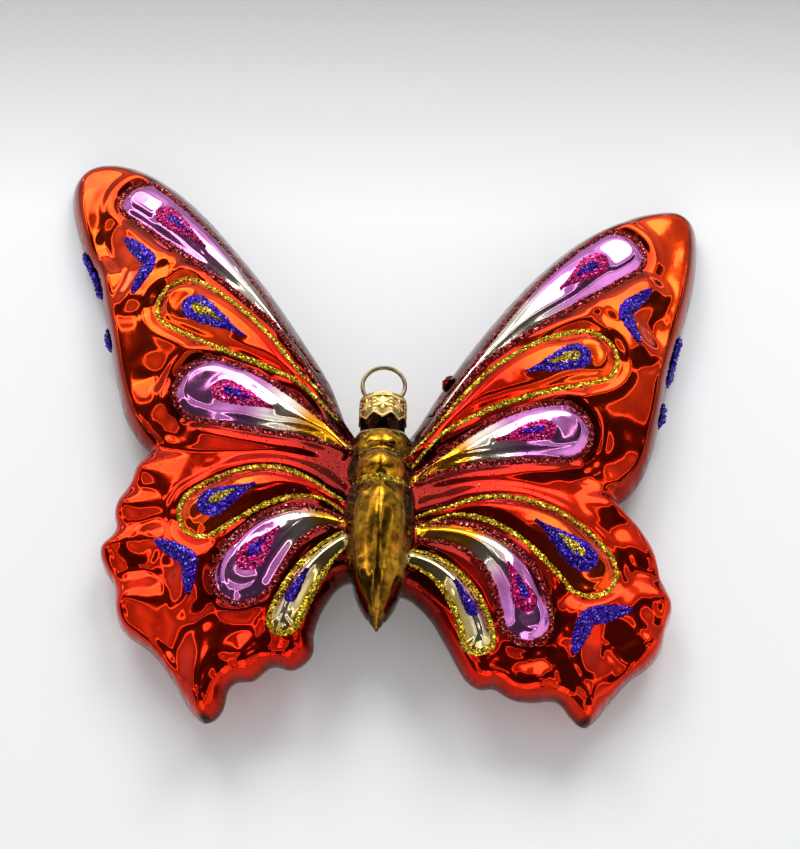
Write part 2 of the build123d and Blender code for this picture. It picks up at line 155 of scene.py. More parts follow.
# Ridges of the lower wings, from each lobe's tip inwards
RIDGES = {
    LEFT: (
        ((45.6, 6), (38, 5)), ((48.4, -1), (40, -1)), ((50.2, -8.4), (40, -8)),
        ((46.4, -19.5), (37.5, -17)), ((28, -40), (29.5, -23)), ((21, -33), (21.4, -27.5)),
        ((12.6, -30.6), (13.6, -28)),
    ),
    RIGHT: (
        ((43.6, 1.5), (37, 0)), ((49.6, -9), (42, -8)), ((51.8, -16.8), (42, -15.4)),
        ((49.2, -25.6), (40.5, -24.2)), ((34.8, -39.2), (34, -29)), ((26.5, -35.5), (26.6, -30)),
        ((18, -34.2), (18.8, -31)),
    ),
}
# Dents where the mould left the glass hollow: place and size
DENTS = {
    LEFT: (
        (41.5, 25, 4.0), (38, 13.5, 4.2), (54, 55, 5.0), (39.8, -14.3, 4.2), (34, -27.5, 4.6), (17, -28, 2.2),
    ),
    RIGHT: (
        (44.5, 11, 4.4), (36, 6, 3.4), (52, 38, 4.5), (39.5, -26.5, 4.2), (24, -30, 2.6), (44.5, -11, 3.4),
    ),
}
# Sealed ends of the glass at the lower wings' points
NUBS = {LEFT: (28, -40.1), RIGHT: (34.8, -39.2)}
# Glitter: a foil and the mesh spacing as shares of a grain, and how deep deposits root in the glass
FOIL_SHARE = 0.62
STEP_SHARE = 0.75
STRIP_EDGE_DEPTH, STRIP_ROOT_DEPTH, BEAD_ROOT_DEPTH, FLAKE_ROOT_DEPTH = 0.12, 0.35, 0.4, 0.1
PUPIL_LIFT = 0.22
# Relief: rise of eye spots, of the swell outside a cell, of chevrons and of lobe ridges, and depths
EYE_RISE, SWELL_RISE, STROKE_RISE, RIDGE_RISE = 0.35, 0.35, 0.75, 1.8
STROKE_HOLLOW, RIDGE_HOLLOW, DENT_SHARE, WAVE_HEIGHT = 0.3, 0.65, 0.28, 0.06
# Grooves round the body: place, depth and width
GROOVES = ((5.9, 0.8, 0.45), (0, 0.6, 0.6), (-15.5, 0.2, 0.35))
# Widths of the rounded valleys where the wings meet each other and the body
WING_VALLEY, BODY_VALLEY = 0.9, 0.7
# The neck: radius and place along the axis, round its section
NECK = ((3.2, 8.6), (4.0, 8.8), (4.0, 17.3), (3.9, 17.6), (3.7, 17.6), (3.6, 17.3), (3.6, 9.6), (2.0, 9.2))
# Glitter collars: place along the body, half length, half width
COLLARS = ((5.8, 3.7, 0.3), (0, 4.1, 0.55))
# Runs of glitter over the upper wings' edges: side, from and to along the body, least distance from it
EDGE_RUNS = ((LEFT, 45, 58, 45), (LEFT, 33, 39, 45), (RIGHT, 27, 40, 45), (RIGHT, 18, 25, 45))
BLOB_RUN = (RIGHT, 21.2, 24.6, 8)
# The cap's stamped star and upper border, up from the waist
STAR_PLACE, BORDER_PLACE = 15.85, 17.45
# What the camera aims at, from the waist
AIM = (3.1, 13.7, 0.0)
# Lamps: name, place in metres, size, share of the lamp power
LAMPS = (
    ("lamp_left", (-0.2, 0.42, 0.44), 0.28, 1.0), ("lamp_right", (0.2, 0.42, 0.44), 0.28, 1.1),
    ("bounce_card", (0.02, -0.46, 0.16), 0.4, 0.55),
)
# The room that the glass mirrors, from its dark patches over a bright window to pale walls
ROOM = (
    (0.3, (0.08, 0.08, 0.08)), (0.432, (0.2, 0.19, 0.18)), (0.446, (8.0, 7.5, 6.5)),
    (0.46, (0.5, 0.5, 0.5)), (0.58, (0.8, 0.8, 0.8)), (0.7, (1.5, 1.5, 1.45)),
)
ROOM_DIFFUSE, ROOM_SEEN = (0.44, 0.45, 0.46, 1.0), (0.9, 0.92, 0.94, 1.0)
# Body stations: along, half width, half depth
HEAD = ((11.3, 4.5, 4.8), (8.6, 4.8, 6.2), (5.9, 4.5, 6.5))
THORAX = ((5.9, 4.4, 6.4), (3, 4.9, 7.6), (0, 4.5, 7.2))
ABDOMEN = ((0, 4.4, 7.2), (-5.5, 5.5, 8.8), (-13, 5, 8.4), (-19.5, 3.7, 5.8), (-24.8, 0.3, 0.5))


class GlassSettings(bpy.types.PropertyGroup):
    """Sizes and lacquers of the blown glass."""

    grid: FloatProperty(name="Grid", description="Spacing of the glass mesh, mm", default=0.45, min=0.2)
    droop: FloatProperty(name="Droop", description="Wing droop, degrees", default=10.0)
    thickness: FloatProperty(name="Half thickness", description="Of a wing at its crown, mm", default=5.2)
    crown: FloatProperty(name="Crown radius", description="Of a wing's front and back, mm", default=430.0)
    upper_edge: FloatProperty(name="Upper edge", description="Rounding of the upper wings, mm", default=2.4)
    lower_edge: FloatProperty(name="Lower edge", description="Rounding of the lower wings, mm", default=4.8)
    pad: FloatProperty(name="Pad rise", description="Rise of a cell's pad, mm", default=0.9)
    groove: FloatProperty(name="Rim groove", description="Depth of the groove under a rim, mm", default=0.45)
    orange: StringProperty(name="Orange lacquer", description="Wing tips, sRGB", default="#E6440C")
    red: StringProperty(name="Red lacquer", description="Wings, sRGB", default="#C41804")
    # Maroon also serves as painted shade on the upper wings' side walls and beside the red rims
    maroon: StringProperty(name="Maroon lacquer", description="Wing roots, sRGB", default="#4A0603")
    lilac: StringProperty(name="Lilac lacquer", description="Cells, sRGB", default="#CC7CCB")
    silver: StringProperty(name="Silver", description="Bare silvering in the cells, sRGB", default="#E6DFD6")
    amber: StringProperty(name="Amber lacquer", description="Cell roots, sRGB", default="#E59A1E")
    khaki: StringProperty(name="Khaki lacquer", description="Inner cells, sRGB", default="#C9B679")
    bronze: StringProperty(name="Bronze lacquer", description="Body, sRGB", default="#A87D1C")
    # Umber also serves as the painted shade line at the upper wings' shoulders, the painted shade on the
    # body's flanks and, at half strength, the painted shadow on the neck
    umber: StringProperty(name="Umber lacquer", description="Tail and edge line, sRGB", default="#3E1C0A")


class GlitterSettings(bpy.types.PropertyGroup):
    """Sizes and colours of the glitter."""

    grain: FloatProperty(name="Grain", description="Size of a grain, mm", default=0.42, min=0.2)
    rise: FloatProperty(name="Rise", description="Height over the glass, mm", default=0.5)
    rim_half: FloatProperty(name="Rim half width", description="Of a gold rim, mm", default=0.6)
    red_half: FloatProperty(name="Red half width", description="Of a red rim, mm", default=0.7)
    stroke_half: FloatProperty(name="Stroke half width", description="Of a chevron, mm", default=1.65)
    red: StringProperty(name="Red", description="Rims, sRGB", default="#700A0E")
    gold: StringProperty(name="Gold", description="Rims and collar, sRGB", default="#AE9216")
    purple: StringProperty(name="Purple", description="Eyes and chevrons, sRGB", default="#30108F")
    magenta: StringProperty(name="Magenta", description="Eyes, sRGB", default="#A3105C")


class CapSettings(bpy.types.PropertyGroup):
    """Sizes and colours of the cap, the neck and the wire."""

    radius: FloatProperty(name="Cap radius", description="Outside, mm", default=4.45)
    bottom: FloatProperty(name="Cap bottom", description="Up from the waist, mm", default=12.9)
    sheet: FloatProperty(name="Sheet", description="Metal thickness, mm", default=0.25)
    teeth: IntProperty(name="Teeth", description="Points round the edge", default=8, min=3)
    tooth: FloatProperty(name="Tooth depth", description="Of the toothed edge, mm", default=1.2)
    emboss: FloatProperty(name="Emboss", description="Depth of the stamped pattern, mm", default=0.14)
    gilt: StringProperty(name="Gilt", description="Cap, sRGB", default="#DCBC74")
    wire: StringProperty(name="Wire", description="Brassed steel, sRGB", default="#7F7050")


class StageSettings(bpy.types.PropertyGroup):
    """Camera, floor and lamps."""

    lens: FloatProperty(name="Lens", description="Focal length, mm", default=59.36, unit="CAMERA")
    distance: FloatProperty(name="Distance", description="From the aim point, mm", default=250.0)
    azimuth: FloatProperty(name="Azimuth", description="Degrees", default=1.2)
    elevation: FloatProperty(name="Elevation", description="Degrees", default=62.0)
    floor: StringProperty(name="Floor", description="Paper, sRGB", default="#F2F3F4")
    # The paper far off is set darker: painted shade
    far_floor_shade: StringProperty(name="Far floor", description="Paper far off, sRGB", default="#AFAEAE")
    lamp: FloatProperty(name="Lamp power", description="Of the left lamp, W", default=1.5, unit="POWER")


def settings(name):
    """One of the add-on's groups of settings."""
    return getattr(bpy.context.scene, name)


def linear(code):
    """An sRGB hex colour as linear red, green and blue."""
    parts = [int(code[i:i + 2], 16) / 255 for i in (1, 3, 5)]
    return np.array([p / 12.92 if p <= 0.04045 else ((p + 0.055) / 1.055) ** 2.4 for p in parts])


def ramp(value, low, high):
    """Smooth step from 0 at low to 1 at high."""
    t = np.clip((value - low) / (high - low), 0, 1)
    return t * t * (3 - 2 * t)


def smooth_max(a, b, width):
    """The larger of two heights, with a rounded valley of a given width where they meet."""
    share = np.clip(0.5 + (a - b) / (2 * width), 0, 1)
    return b + (a - b) * share + width * share * (1 - share)


def bell(value, width):
    """A smooth bump, 1 at zero."""
    return np.exp(-(value / width) ** 2)


def rounded_loop(points, steps=8):
    """A smooth closed curve through outline points."""
    b = np.array(points, float)
    a, c, d = np.roll(b, 1, 0), np.roll(b, -1, 0), np.roll(b, -2, 0)
    t = (np.arange(steps) / steps)[:, None, None]
    bend, twist = 2 * a - 5 * b + 4 * c - d, 3 * b - a - 3 * c + d
    curve = 0.5 * (2 * b + (c - a) * t + bend * t ** 2 + twist * t ** 3)
    return curve.transpose(1, 0, 2).reshape(-1, 2)


def inside_distance(points, loop, batch=3000):
    """Distance from each point to a closed loop, positive inside it."""
    a, b = loop, np.roll(loop, -1, 0)
    edge = b - a
    length = np.maximum((edge ** 2).sum(1), 1e-12)
    rise = np.where(edge[:, 1] == 0, 1e-9, edge[:, 1])
    found = np.empty(len(points))
    for i in range(0, len(points), batch):
        p = points[i:i + batch, None, :]
        off = p - a
        along = np.clip((off * edge).sum(2) / length, 0, 1)
        near = np.sqrt(((off - along[..., None] * edge) ** 2).sum(2).min(1))
        crossed = (a[:, 1] > p[..., 1]) != (b[:, 1] > p[..., 1])
        at = a[:, 0] + (p[..., 1] - a[:, 1]) * edge[:, 0] / rise
        odd = ((p[..., 0] < at) & crossed).sum(1) % 2 == 1
        found[i:i + batch] = np.where(odd, near, -near)
    return found


def path_distance(points, path):
    """Distance from each point to an open run of points."""
    best = np.full(len(points), 1e9)
    for a, b in zip(np.array(path[:-1], float), np.array(path[1:], float)):
        run = b - a
        along = np.clip(((points - a) @ run) / (run @ run), 0, 1)
        best = np.minimum(best, np.linalg.norm(points - a - along[:, None] * run, axis=1))
    return best


def ridge_height(points, tip, root):
    """A ridge that is highest and narrowest at a lobe's tip and dies out inwards."""
    tip, root = np.array(tip, float), np.array(root, float)
    run = 1.3 * (root - tip)
    along = np.clip(((points - tip) @ run) / (run @ run), 0, 1)
    off = np.linalg.norm(points - tip - along[:, None] * run, axis=1)
    return bell(off, 2.2 + 2.6 * along) * (1 - along)


def cell_line(cell, share):
    """Points and unit headings on a cell's middle line."""
    root, head = np.array(cell[0], float), np.array(cell[1], float)
    run = head - root
    knee = root + run / 2 + 2 * cell[3] * np.array([-run[1], run[0]])
    t = np.atleast_1d(share)[:, None]
    point = (1 - t) ** 2 * root + 2 * t * (1 - t) * knee + t ** 2 * head
    heading = (1 - t) * (knee - root) + t * (head - knee)
    return point, heading / np.linalg.norm(heading, axis=1)[:, None]


def cell_half_width(cell, share, least=TAIL_HALF_WIDTH):
    """Half a cell's width along its middle line."""
    width = cell[2] * (cell[4] + (1 - cell[4]) * np.sin(np.clip(share, 0, 1) * math.pi / 2) ** TEARDROP_POWER)
    return np.maximum(width, least)


def cell_loop(cell, start, least=TAIL_HALF_WIDTH, steps=26, head_steps=11):
    """A cell's outline from its root up one side, round the head and down the other."""
    share = np.linspace(start, 1, steps)
    point, heading = cell_line(cell, share)
    normal = np.column_stack([-heading[:, 1], heading[:, 0]])
    width = cell_half_width(cell, share, least)[:, None]
    turn = np.linspace(0, math.pi, head_steps)[1:-1, None]
    head = point[-1] + cell[2] * (np.cos(turn) * normal[-1] + np.sin(turn) * heading[-1])
    return np.vstack([point + normal * width, head, (point - normal * width)[::-1]])


def eye_cell(cell, head_share, tail_share, radius):
    """A small straight teardrop on a cell's middle line."""
    head = cell_line(cell, head_share)[0][0]
    tail = cell_line(cell, tail_share)[0][0]
    return (tuple(tail), tuple(head), radius, 0.0, TAIL_HALF_WIDTH / radius)


def station_curve(stations, place, column):
    """A smooth run through body stations."""
    along = [s[0] for s in stations]
    fit = np.polyfit(along, [s[column] for s in stations], len(stations) - 1)
    return np.polyval(fit, np.clip(place, min(along), max(along)))


def body_half_width(place):
    """Half the body's width at places along it."""
    parts = [
        np.where((place <= run[0][0]) & (place >= run[-1][0]), station_curve(run, place, 1), 0.0)
        for run in (HEAD, THORAX, ABDOMEN)
    ]
    return np.max(parts, axis=0)


def body_relief(x, y):
    """Half depth of the body over its axis plane, and how far inside its outline a point is."""
    x = np.abs(x)
    depth = np.full(len(x), -9.0)
    inside = np.full(len(x), -9.0)
    for stations, keeled in ((HEAD, False), (THORAX, False), (ABDOMEN, True)):
        here = (y <= stations[0][0] + 0.6) & (y >= stations[-1][0] - 0.6)
        across = np.maximum(station_curve(stations, y, 1), 0.05)
        deep = np.maximum(station_curve(stations, y, 2), 0.05)
        if keeled:
            middle = (across ** 2 - deep ** 2) / (2 * across)
            rise = np.sqrt(np.maximum((across - middle) ** 2 - (x - middle) ** 2, 0))
        else:
            rise = deep * np.sqrt(np.maximum(1 - (x / across) ** 2, 0))
            rise += 0.35 * bell(x, 0.9) * (stations is THORAX)
        margin = np.minimum(across - x, np.minimum(stations[0][0] - y, y - stations[-1][0]) + 0.4)
        rise = np.where(x < across, rise, across - x)
        depth = np.where(here, np.maximum(depth, rise), depth)
        inside = np.where(here, np.maximum(inside, margin), inside)
    ring = sum(deep * bell(y - place, width) for place, deep, width in GROOVES)
    shoulder = (1 - (1 - np.clip((HEAD[0][0] + 0.4 - y) / 1.6, 0, 1)) ** 2) ** 0.5
    return np.where(depth > 0, (depth - ring) * shoulder, depth), inside


def waves(u, v, side):
    """Slow unevenness of hand-blown glass, in millimetres."""
    total = np.sin(0.41 * u + 0.23 * v + side) + np.sin(0.31 * v - 0.37 * u + 2.1)
    total = total + 0.3 * np.sin(0.83 * u - 0.52 * v + 0.7) + 0.2 * np.sin(0.97 * v + 0.49 * u + side)
    return WAVE_HEIGHT * total


class Relief:
    """Height of the glass over the drooping middle plane, and where its lacquers and painted shade lie."""

    def __init__(self):
        glass = settings("glass")
        self.glass = glass
        self.outlines = {key: rounded_loop(points) for key, points in OUTLINES.items()}
        self.pads = {}
        self.eyes = {}
        for name, sides in CELLS.items():
            for side, cell in sides.items():
                self.pads[name, side] = cell_loop(cell, RIM_STARTS[name], TAIL_SPREAD)
                head, tail, share = EYES[name]
                self.eyes[name, side] = cell_loop(eye_cell(cell, head, tail, share * cell[2]), 0.0)

    def side_field(self, u, v, side, paint):
        """Height and inside distance of one side's wings and the body."""
        glass = self.glass
        p = np.column_stack([u, v])
        total = np.full(len(u), -9.0)
        inside = np.full(len(u), -9.0)
        marks = {}
        for wing, edge in (("upper", glass.upper_edge), ("lower", glass.lower_edge)):
            d = inside_distance(p, self.outlines[wing, side]) - 0.15
            middle = CROWN_MIDDLES[wing, side]
            off = (u - middle[0]) ** 2 + (v - middle[1]) ** 2
            crown = glass.thickness - (glass.crown - np.sqrt(glass.crown ** 2 - off))
            if wing == "upper":
                height = -crown * smooth_max(-np.maximum(d / edge, 0) ** 0.7, -1.0, 0.1)
            else:
                bevel = 1 - np.clip(d / edge, 0, 1)
                height = crown * (1 - bevel ** 2.5) ** (1 / 2.5)
            settle = ramp(d, 0.3, 3.0)
            for name in WING_CELLS[wing]:
                c = inside_distance(p, self.pads[name, side])
                e = inside_distance(p, self.eyes[name, side])
                pad = glass.pad * ramp(c, 0.1, 2.4) - glass.groove * bell(c, 0.9)
                pad += EYE_RISE * ramp(e, -1.0, 0.9)
                pad += SWELL_RISE * bell(c + 2.4, 1.2) * (wing == "upper")
                height = height + settle * pad
                marks[name] = c
            stroke = path_distance(p, CHEVRONS[wing][side])
            swell = STROKE_RISE * bell(stroke, 2.6) - STROKE_HOLLOW * bell(stroke - 4.6, 1.6)
            height = height + settle * swell
            if wing == "lower":
                crest = np.max([ridge_height(p, *ridge) for ridge in RIDGES[side]], axis=0)
                margin = 1 - ramp(d, 9.0, 14.0)
                cells = np.max([marks[name] for name in WING_CELLS[wing]], axis=0)
                clear = 1 - ramp(cells, -3.5, -0.5)
                height = height + settle * margin * clear * (RIDGE_RISE * crest - RIDGE_HOLLOW)
            for out, up, size in DENTS[side]:
                height = height - DENT_SHARE * size * settle * bell(np.hypot(u - out, v - up), size)
            height = np.where(d > 0, height + settle * waves(u, v, side), d)
            total = height if wing == "upper" else smooth_max(total, height, WING_VALLEY)
            inside = np.maximum(inside, d)
            marks[wing] = d
        rise, margin = body_relief(u, v)
        rise = np.where(rise > 0, rise + self.drop(u), rise)
        marks["body"] = np.where(rise > 0, rise - total, -9.0)
        total = smooth_max(total, rise, BODY_VALLEY)
        inside = np.maximum(inside, margin)
        return total, inside, self.lacquers_and_shade(u, v, side, marks, inside) if paint else None

    def drop(self, u):
        """How far the middle plane has drooped below the body's axis plane."""
        return math.sin(math.radians(self.glass.droop)) * u * ramp(u, 0.0, 5.0)

    def field(self, plan, paint=False):
        """Height, inside distance and lacquer at points of the plan, left side negative."""
        height = np.empty(len(plan))
        inside = np.empty(len(plan))
        colour = np.zeros((len(plan), 4))
        for side in (LEFT, RIGHT):
            mine = plan[:, 0] < 0 if side == LEFT else plan[:, 0] >= 0
            if mine.any():
                h, d, c = self.side_field(np.abs(plan[mine, 0]), plan[mine, 1], side, paint)
                height[mine], inside[mine] = h, d
                if paint:
                    colour[mine] = c
        return height, inside, colour

    def place(self, plan, height, face):
        """Points in space, in millimetres, at a height over the plan on the front or the back."""
        u, side = np.abs(plan[:, 0]), np.where(plan[:, 0] < 0, LEFT, RIGHT)
        lean = math.radians(self.glass.droop) * ramp(u, 0.0, 5.0)
        x = side * (u * math.cos(math.radians(self.glass.droop)) + face * height * np.sin(lean))
        z = face * height * np.cos(lean) - self.drop(u)
        low = z - FLOOR
        z = np.where(low < REST, FLOOR + REST * np.exp(low / REST - 1), z)
        return np.column_stack([x, plan[:, 1], z])

    def lacquers_and_shade(self, u, v, side, marks, inside):
        """Transparent lacquers over the silvering, sprayed and brushed by hand, with painted shade beside the
        red rims, on the upper wings' side walls and on the body's flanks, and how dull they are.
        """
        names = ("orange", "red", "maroon", "lilac", "silver", "amber", "khaki", "bronze", "umber")
        shade = {name: linear(getattr(self.glass, name)) for name in names}
        plain = {name: np.tile(shade[name], (len(u), 1)) for name in names}

        def lay(base, over, share):
            over = shade[over] if isinstance(over, str) else over
            return base + (over - base) * share[:, None]

        blotch = np.sin(0.5 * u + 1.3 * np.sin(0.35 * v)) * np.sin(0.43 * v + 0.9 * np.sin(0.3 * u))
        blotch = 0.5 + 0.5 * blotch
        far = ramp(np.hypot(u, 0.7 * v), 6, 44)
        colour = lay(plain["maroon"], "red", ramp(far, 0.0, 0.5))
        warm = ramp(far, 0.45, 1.0) * (0.25 + 0.75 * ramp(v, 0, 50)) * (0.55 + 0.45 * blotch)
        colour = lay(colour, "orange", 0.9 * warm)
        for name, sides in CELLS.items():
            c = marks[name]
            root, head = np.array(sides[side][0]), np.array(sides[side][1])
            run = head - root
            share = ((u - root[0]) * run[0] + (v - root[1]) * run[1]) / (run @ run)
            if GLITTER_OF[name][0] == "red":
                # Painted shade: a dark maroon band round the red-rimmed cells, along the groove beside the
                # rim
                colour = lay(colour, "maroon", 0.85 * bell(c + 0.6, 1.6))
                fill = plain["silver" if name == "leading" else "amber"]
                fill = lay(fill, "silver", ramp(share, 0.32, 0.5))
                fill = lay(fill, "lilac", ramp(share, 0.5, 0.72))
            elif name == "inner":
                fill = lay(plain["khaki"], "silver", 0.6 * ramp(c, 1.0, 2.2))
            else:
                fill = lay(plain["red"], "orange", ramp(share, 0.5, 0.95))
                colour = lay(colour, "maroon", 0.6 * bell(c - 0.4, 0.9))
            wing = "upper" if name in WING_CELLS["upper"] else "lower"
            colour = lay(colour, fill, ramp(c, 0.0, 0.7) * ramp(marks[wing], 1.0, 1.9))
        # Painted shade: the upper wings' side walls are darkened with maroon, and an umber line is painted at
        # the shoulder where face meets wall
        wall = marks["upper"] * (marks["lower"] < 0) + 9.0 * (marks["lower"] >= 0)
        colour = lay(colour, "maroon", 0.65 * (1 - ramp(wall, 1.2, 2.4)))
        colour = lay(colour, "umber", 0.8 * bell(wall - 2.3, 0.45))
        stain = 0.55 * ramp(blotch, 0.62, 0.9) * ramp(u, 1.0, 4.0)
        body = lay(plain["bronze"], shade["red"] * 0.7, stain)
        streak = np.sin(2.3 * u + 0.9 * np.sin(0.8 * v + side)) * np.sin(1.2 * v + 0.9 * np.sin(1.9 * u))
        body = lay(body, "umber", 0.5 * ramp(0.5 + 0.5 * streak, 0.5, 0.9) * ramp(-v, -2, 3))
        # Painted shade: umber darkens the body's flanks towards the wings
        body = lay(body, "umber", 0.75 * ramp(u, 2.6, 4.8))
        body = lay(body, "umber", 0.6 * ramp(-v, 14, 21) + 0.7 * bell(v - 6.4, 0.5))
        on_body = ramp(marks["body"], -0.6, 0.3)
        colour = lay(colour, body, on_body)
        nub = np.hypot(u - NUBS[side][0], v - NUBS[side][1])
        colour = lay(colour, shade["umber"] * 0.3, 1 - ramp(nub, 0.9, 1.8))
        colour = lay(colour, "umber", 0.75 * (1 - ramp(inside, 0.1, 0.55)))
        return np.column_stack([colour, 0.09 * on_body * (0.4 + blotch)])


def glass_points(relief):
    """A grid over the plan, with the points next to the outline drawn onto it."""
    step = relief.glass.grid
    rows = np.arange(-42.0, 81.0, step * math.sqrt(0.75))
    columns = np.arange(-68.0, 68.0, step)
    plan = np.array([[x + (j % 2) * step / 2, y] for j, y in enumerate(rows) for x in columns])
    _, inside, _ = relief.field(plan)
    keep = inside > -step / 2
    near = np.flatnonzero(np.abs(inside) <= step / 2)
    probe = 0.02
    for _ in range(2):
        here = relief.field(plan[near])[1]
        slope = np.column_stack([
            (relief.field(plan[near] + probe * np.eye(2)[k])[1] - here) / probe for k in (0, 1)
        ])
        steep = np.maximum((slope ** 2).sum(1), 0.2)
        plan[near] -= (here / steep)[:, None] * slope
    edge = np.zeros(len(plan), bool)
    edge[near] = True
    return plan, keep, edge, len(rows), len(columns)


def grid_triangles(plan, keep, edge, rows, columns, relief):
    """Triangles of the grid that lie on the glass."""
    i = np.arange(rows - 1)[:, None] * columns + np.arange(columns - 1)
    even = (np.arange(rows - 1) % 2 == 0)[:, None]
    a, b, c, d = i, i + 1, i + columns, i + columns + 1
    first = np.where(even[..., None], np.stack([a, b, c], 2), np.stack([a, b, d], 2))
    second = np.where(even[..., None], np.stack([b, d, c], 2), np.stack([a, d, c], 2))
    faces = np.concatenate([first.reshape(-1, 3), second.reshape(-1, 3)])
    faces = faces[keep[faces].all(1)]
    rim = edge[faces].all(1)
    middles = plan[faces[rim]].mean(1)
    good = np.ones(len(faces), bool)
    good[rim] = relief.field(middles)[1] > 0.03
    return faces[good]


def trim_sheet(faces, count):
    """A sheet's triangles without those that hang on by a chord, and which points are on its outline."""
    while True:
        ends = np.sort(faces[:, [[0, 1], [1, 2], [2, 0]]], axis=2).reshape(-1, 2)
        runs, which, uses = np.unique(ends, axis=0, return_inverse=True, return_counts=True)
        outline = np.zeros(count, bool)
        outline[runs[uses == 1]] = True
        chord = ((uses == 2) & outline[runs].all(1))[which].reshape(-1, 3).any(1)
        ear = (uses == 1)[which].reshape(-1, 3).sum(1) == 2
        if not (chord & ear).any():
            return faces, outline
        faces = faces[~(chord & ear)]


def relax(height, faces, fixed, rounds=5, share=0.5):
    """Evens out heights between neighbours, leaving the outline alone."""
    for _ in range(rounds):
        total = np.zeros(len(height))
        count = np.zeros(len(height))
        for k in range(3):
            np.add.at(total, faces[:, k], height[faces[:, (k + 1) % 3]] + height[faces[:, (k + 2) % 3]])
            np.add.at(count, faces[:, k], 2)
        mean = np.where(count > 0, total / np.maximum(count, 1), height)
        height = np.where(fixed | (count == 0), height, height + share * (mean - height))
    return height


def make_object(name, points, faces, finish, smooth):
    """A mesh object from points in millimetres."""
    placed = AXIS + np.asarray(points) * MM
    mesh = bpy.data.meshes.new(name)
    mesh.from_pydata(placed.tolist(), [], [list(map(int, f)) for f in faces])
    mesh.validate()
    mesh.polygons.foreach_set("use_smooth", [smooth] * len(mesh.polygons))
    mesh.materials.append(finish)
    made = bpy.data.objects.new(name, mesh)
    bpy.context.scene.collection.objects.link(made)
    return made


def dress(piece, body, slot, *nodes):
    """Lets a piece ride a body and stand for its nodes; the slot is not used."""
    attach(piece, body)
    if nodes:
        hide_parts(*nodes)
    return piece


def add_node(tree, kind, inputs=None, stops=(), **options):
    """Adds one node with its settings, its ramp's stops, its socket values and its links."""
    node = tree.nodes.new(kind)
    for name, value in options.items():
        setattr(node, name, value)
    elements = node.color_ramp.elements if stops else ()
    while len(elements) < len(stops):
        elements.new(0.5)
    for element, (place, colour) in zip(elements, stops):
        element.position = place
        element.color = (*colour, 1.0)
    for socket, value in (inputs or {}).items():
        if isinstance(value, bpy.types.NodeSocket):
            tree.links.new(value, node.inputs[socket])
        else:
            node.inputs[socket].default_value = value
    return node


def new_material(name):
    """A node material without nodes, its tree, and the place of a point on the piece."""
    material = bpy.data.materials.get(name)
    if material:
        return material, None, None
    material = bpy.data.materials.new(name)
    material.use_nodes = True
    tree = material.node_tree
    tree.nodes.clear()
    place = add_node(tree, "ShaderNodeTexCoord").outputs["Object"]
    return material, tree, place


def per_millimetre(size):
    """Texture scale that gives a pattern of a given size in millimetres."""
    return 1 / (size * MM)


def silvered_glass():
    """Blown soda glass, silvered inside and lacquered outside: a tinted mirror under a gloss coat."""
    material, tree, place = new_material("silvered_lacquered_glass")
    if tree is None:
        return material
    # The colour attribute holds the lacquers, with painted shade and the neck's painted shadow
    lacquer_and_shade = add_node(tree, "ShaderNodeAttribute", attribute_name="lacquer_and_shade")
    streak = add_node(tree, "ShaderNodeTexNoise", {
        "Vector": place, "Scale": per_millimetre(9.0), "Detail": 4.0, "Roughness": 0.6})
    depth = add_node(
        tree, "ShaderNodeValToRGB", {"Fac": streak.outputs["Fac"]},
        stops=((0.3, (0.62, 0.55, 0.5)), (0.62, (1.0, 1.0, 1.0))))
    sprayed = add_node(
        tree, "ShaderNodeMix", {0: 1.0, 6: lacquer_and_shade.outputs["Color"], 7: depth.outputs["Color"]},
        data_type="RGBA", blend_type="MULTIPLY")
    crackle = add_node(tree, "ShaderNodeTexNoise", {
        "Vector": place, "Scale": per_millimetre(1.5), "Detail": 6.0, "Roughness": 0.7})
    leaf = add_node(
        tree, "ShaderNodeValToRGB", {"Fac": crackle.outputs["Fac"]},
        stops=((0.36, (0.3, 0.22, 0.14)), (0.52, (0.9, 0.88, 0.8)), (0.68, (1.35, 1.25, 0.95))))
    gilded = add_node(tree, "ShaderNodeMapRange", {"Value": lacquer_and_shade.outputs["Alpha"], "From Max": 0.05})
    tint = add_node(
        tree, "ShaderNodeMix", {0: gilded.outputs["Result"], 6: sprayed.outputs[2], 7: leaf.outputs["Color"]},
        data_type="RGBA", blend_type="MULTIPLY")
    wear = add_node(
        tree, "ShaderNodeTexNoise", {"Vector": place, "Scale": per_millimetre(3.0), "Detail": 3.0})
    dull = add_node(tree, "ShaderNodeMapRange", {
        "Value": wear.outputs["Fac"], "From Min": 0.35, "From Max": 0.75, "To Min": 0.04, "To Max": 0.15})
    matt = add_node(
        tree, "ShaderNodeMath", {0: dull.outputs["Result"], 1: lacquer_and_shade.outputs["Alpha"]}, operation="ADD")
    bump = add_node(
        tree, "ShaderNodeBump", {"Height": wear.outputs["Fac"], "Strength": 0.08, "Distance": 0.2 * MM})
    shader = add_node(tree, "ShaderNodeBsdfPrincipled", {
        "Base Color": tint.outputs[2], "Metallic": 1.0, "Roughness": matt.outputs[0],
        "Coat Weight": 0.06, "Coat Roughness": 0.03, "Normal": bump.outputs["Normal"]})
    add_node(tree, "ShaderNodeOutputMaterial", {"Surface": shader.outputs[0]})
    return material


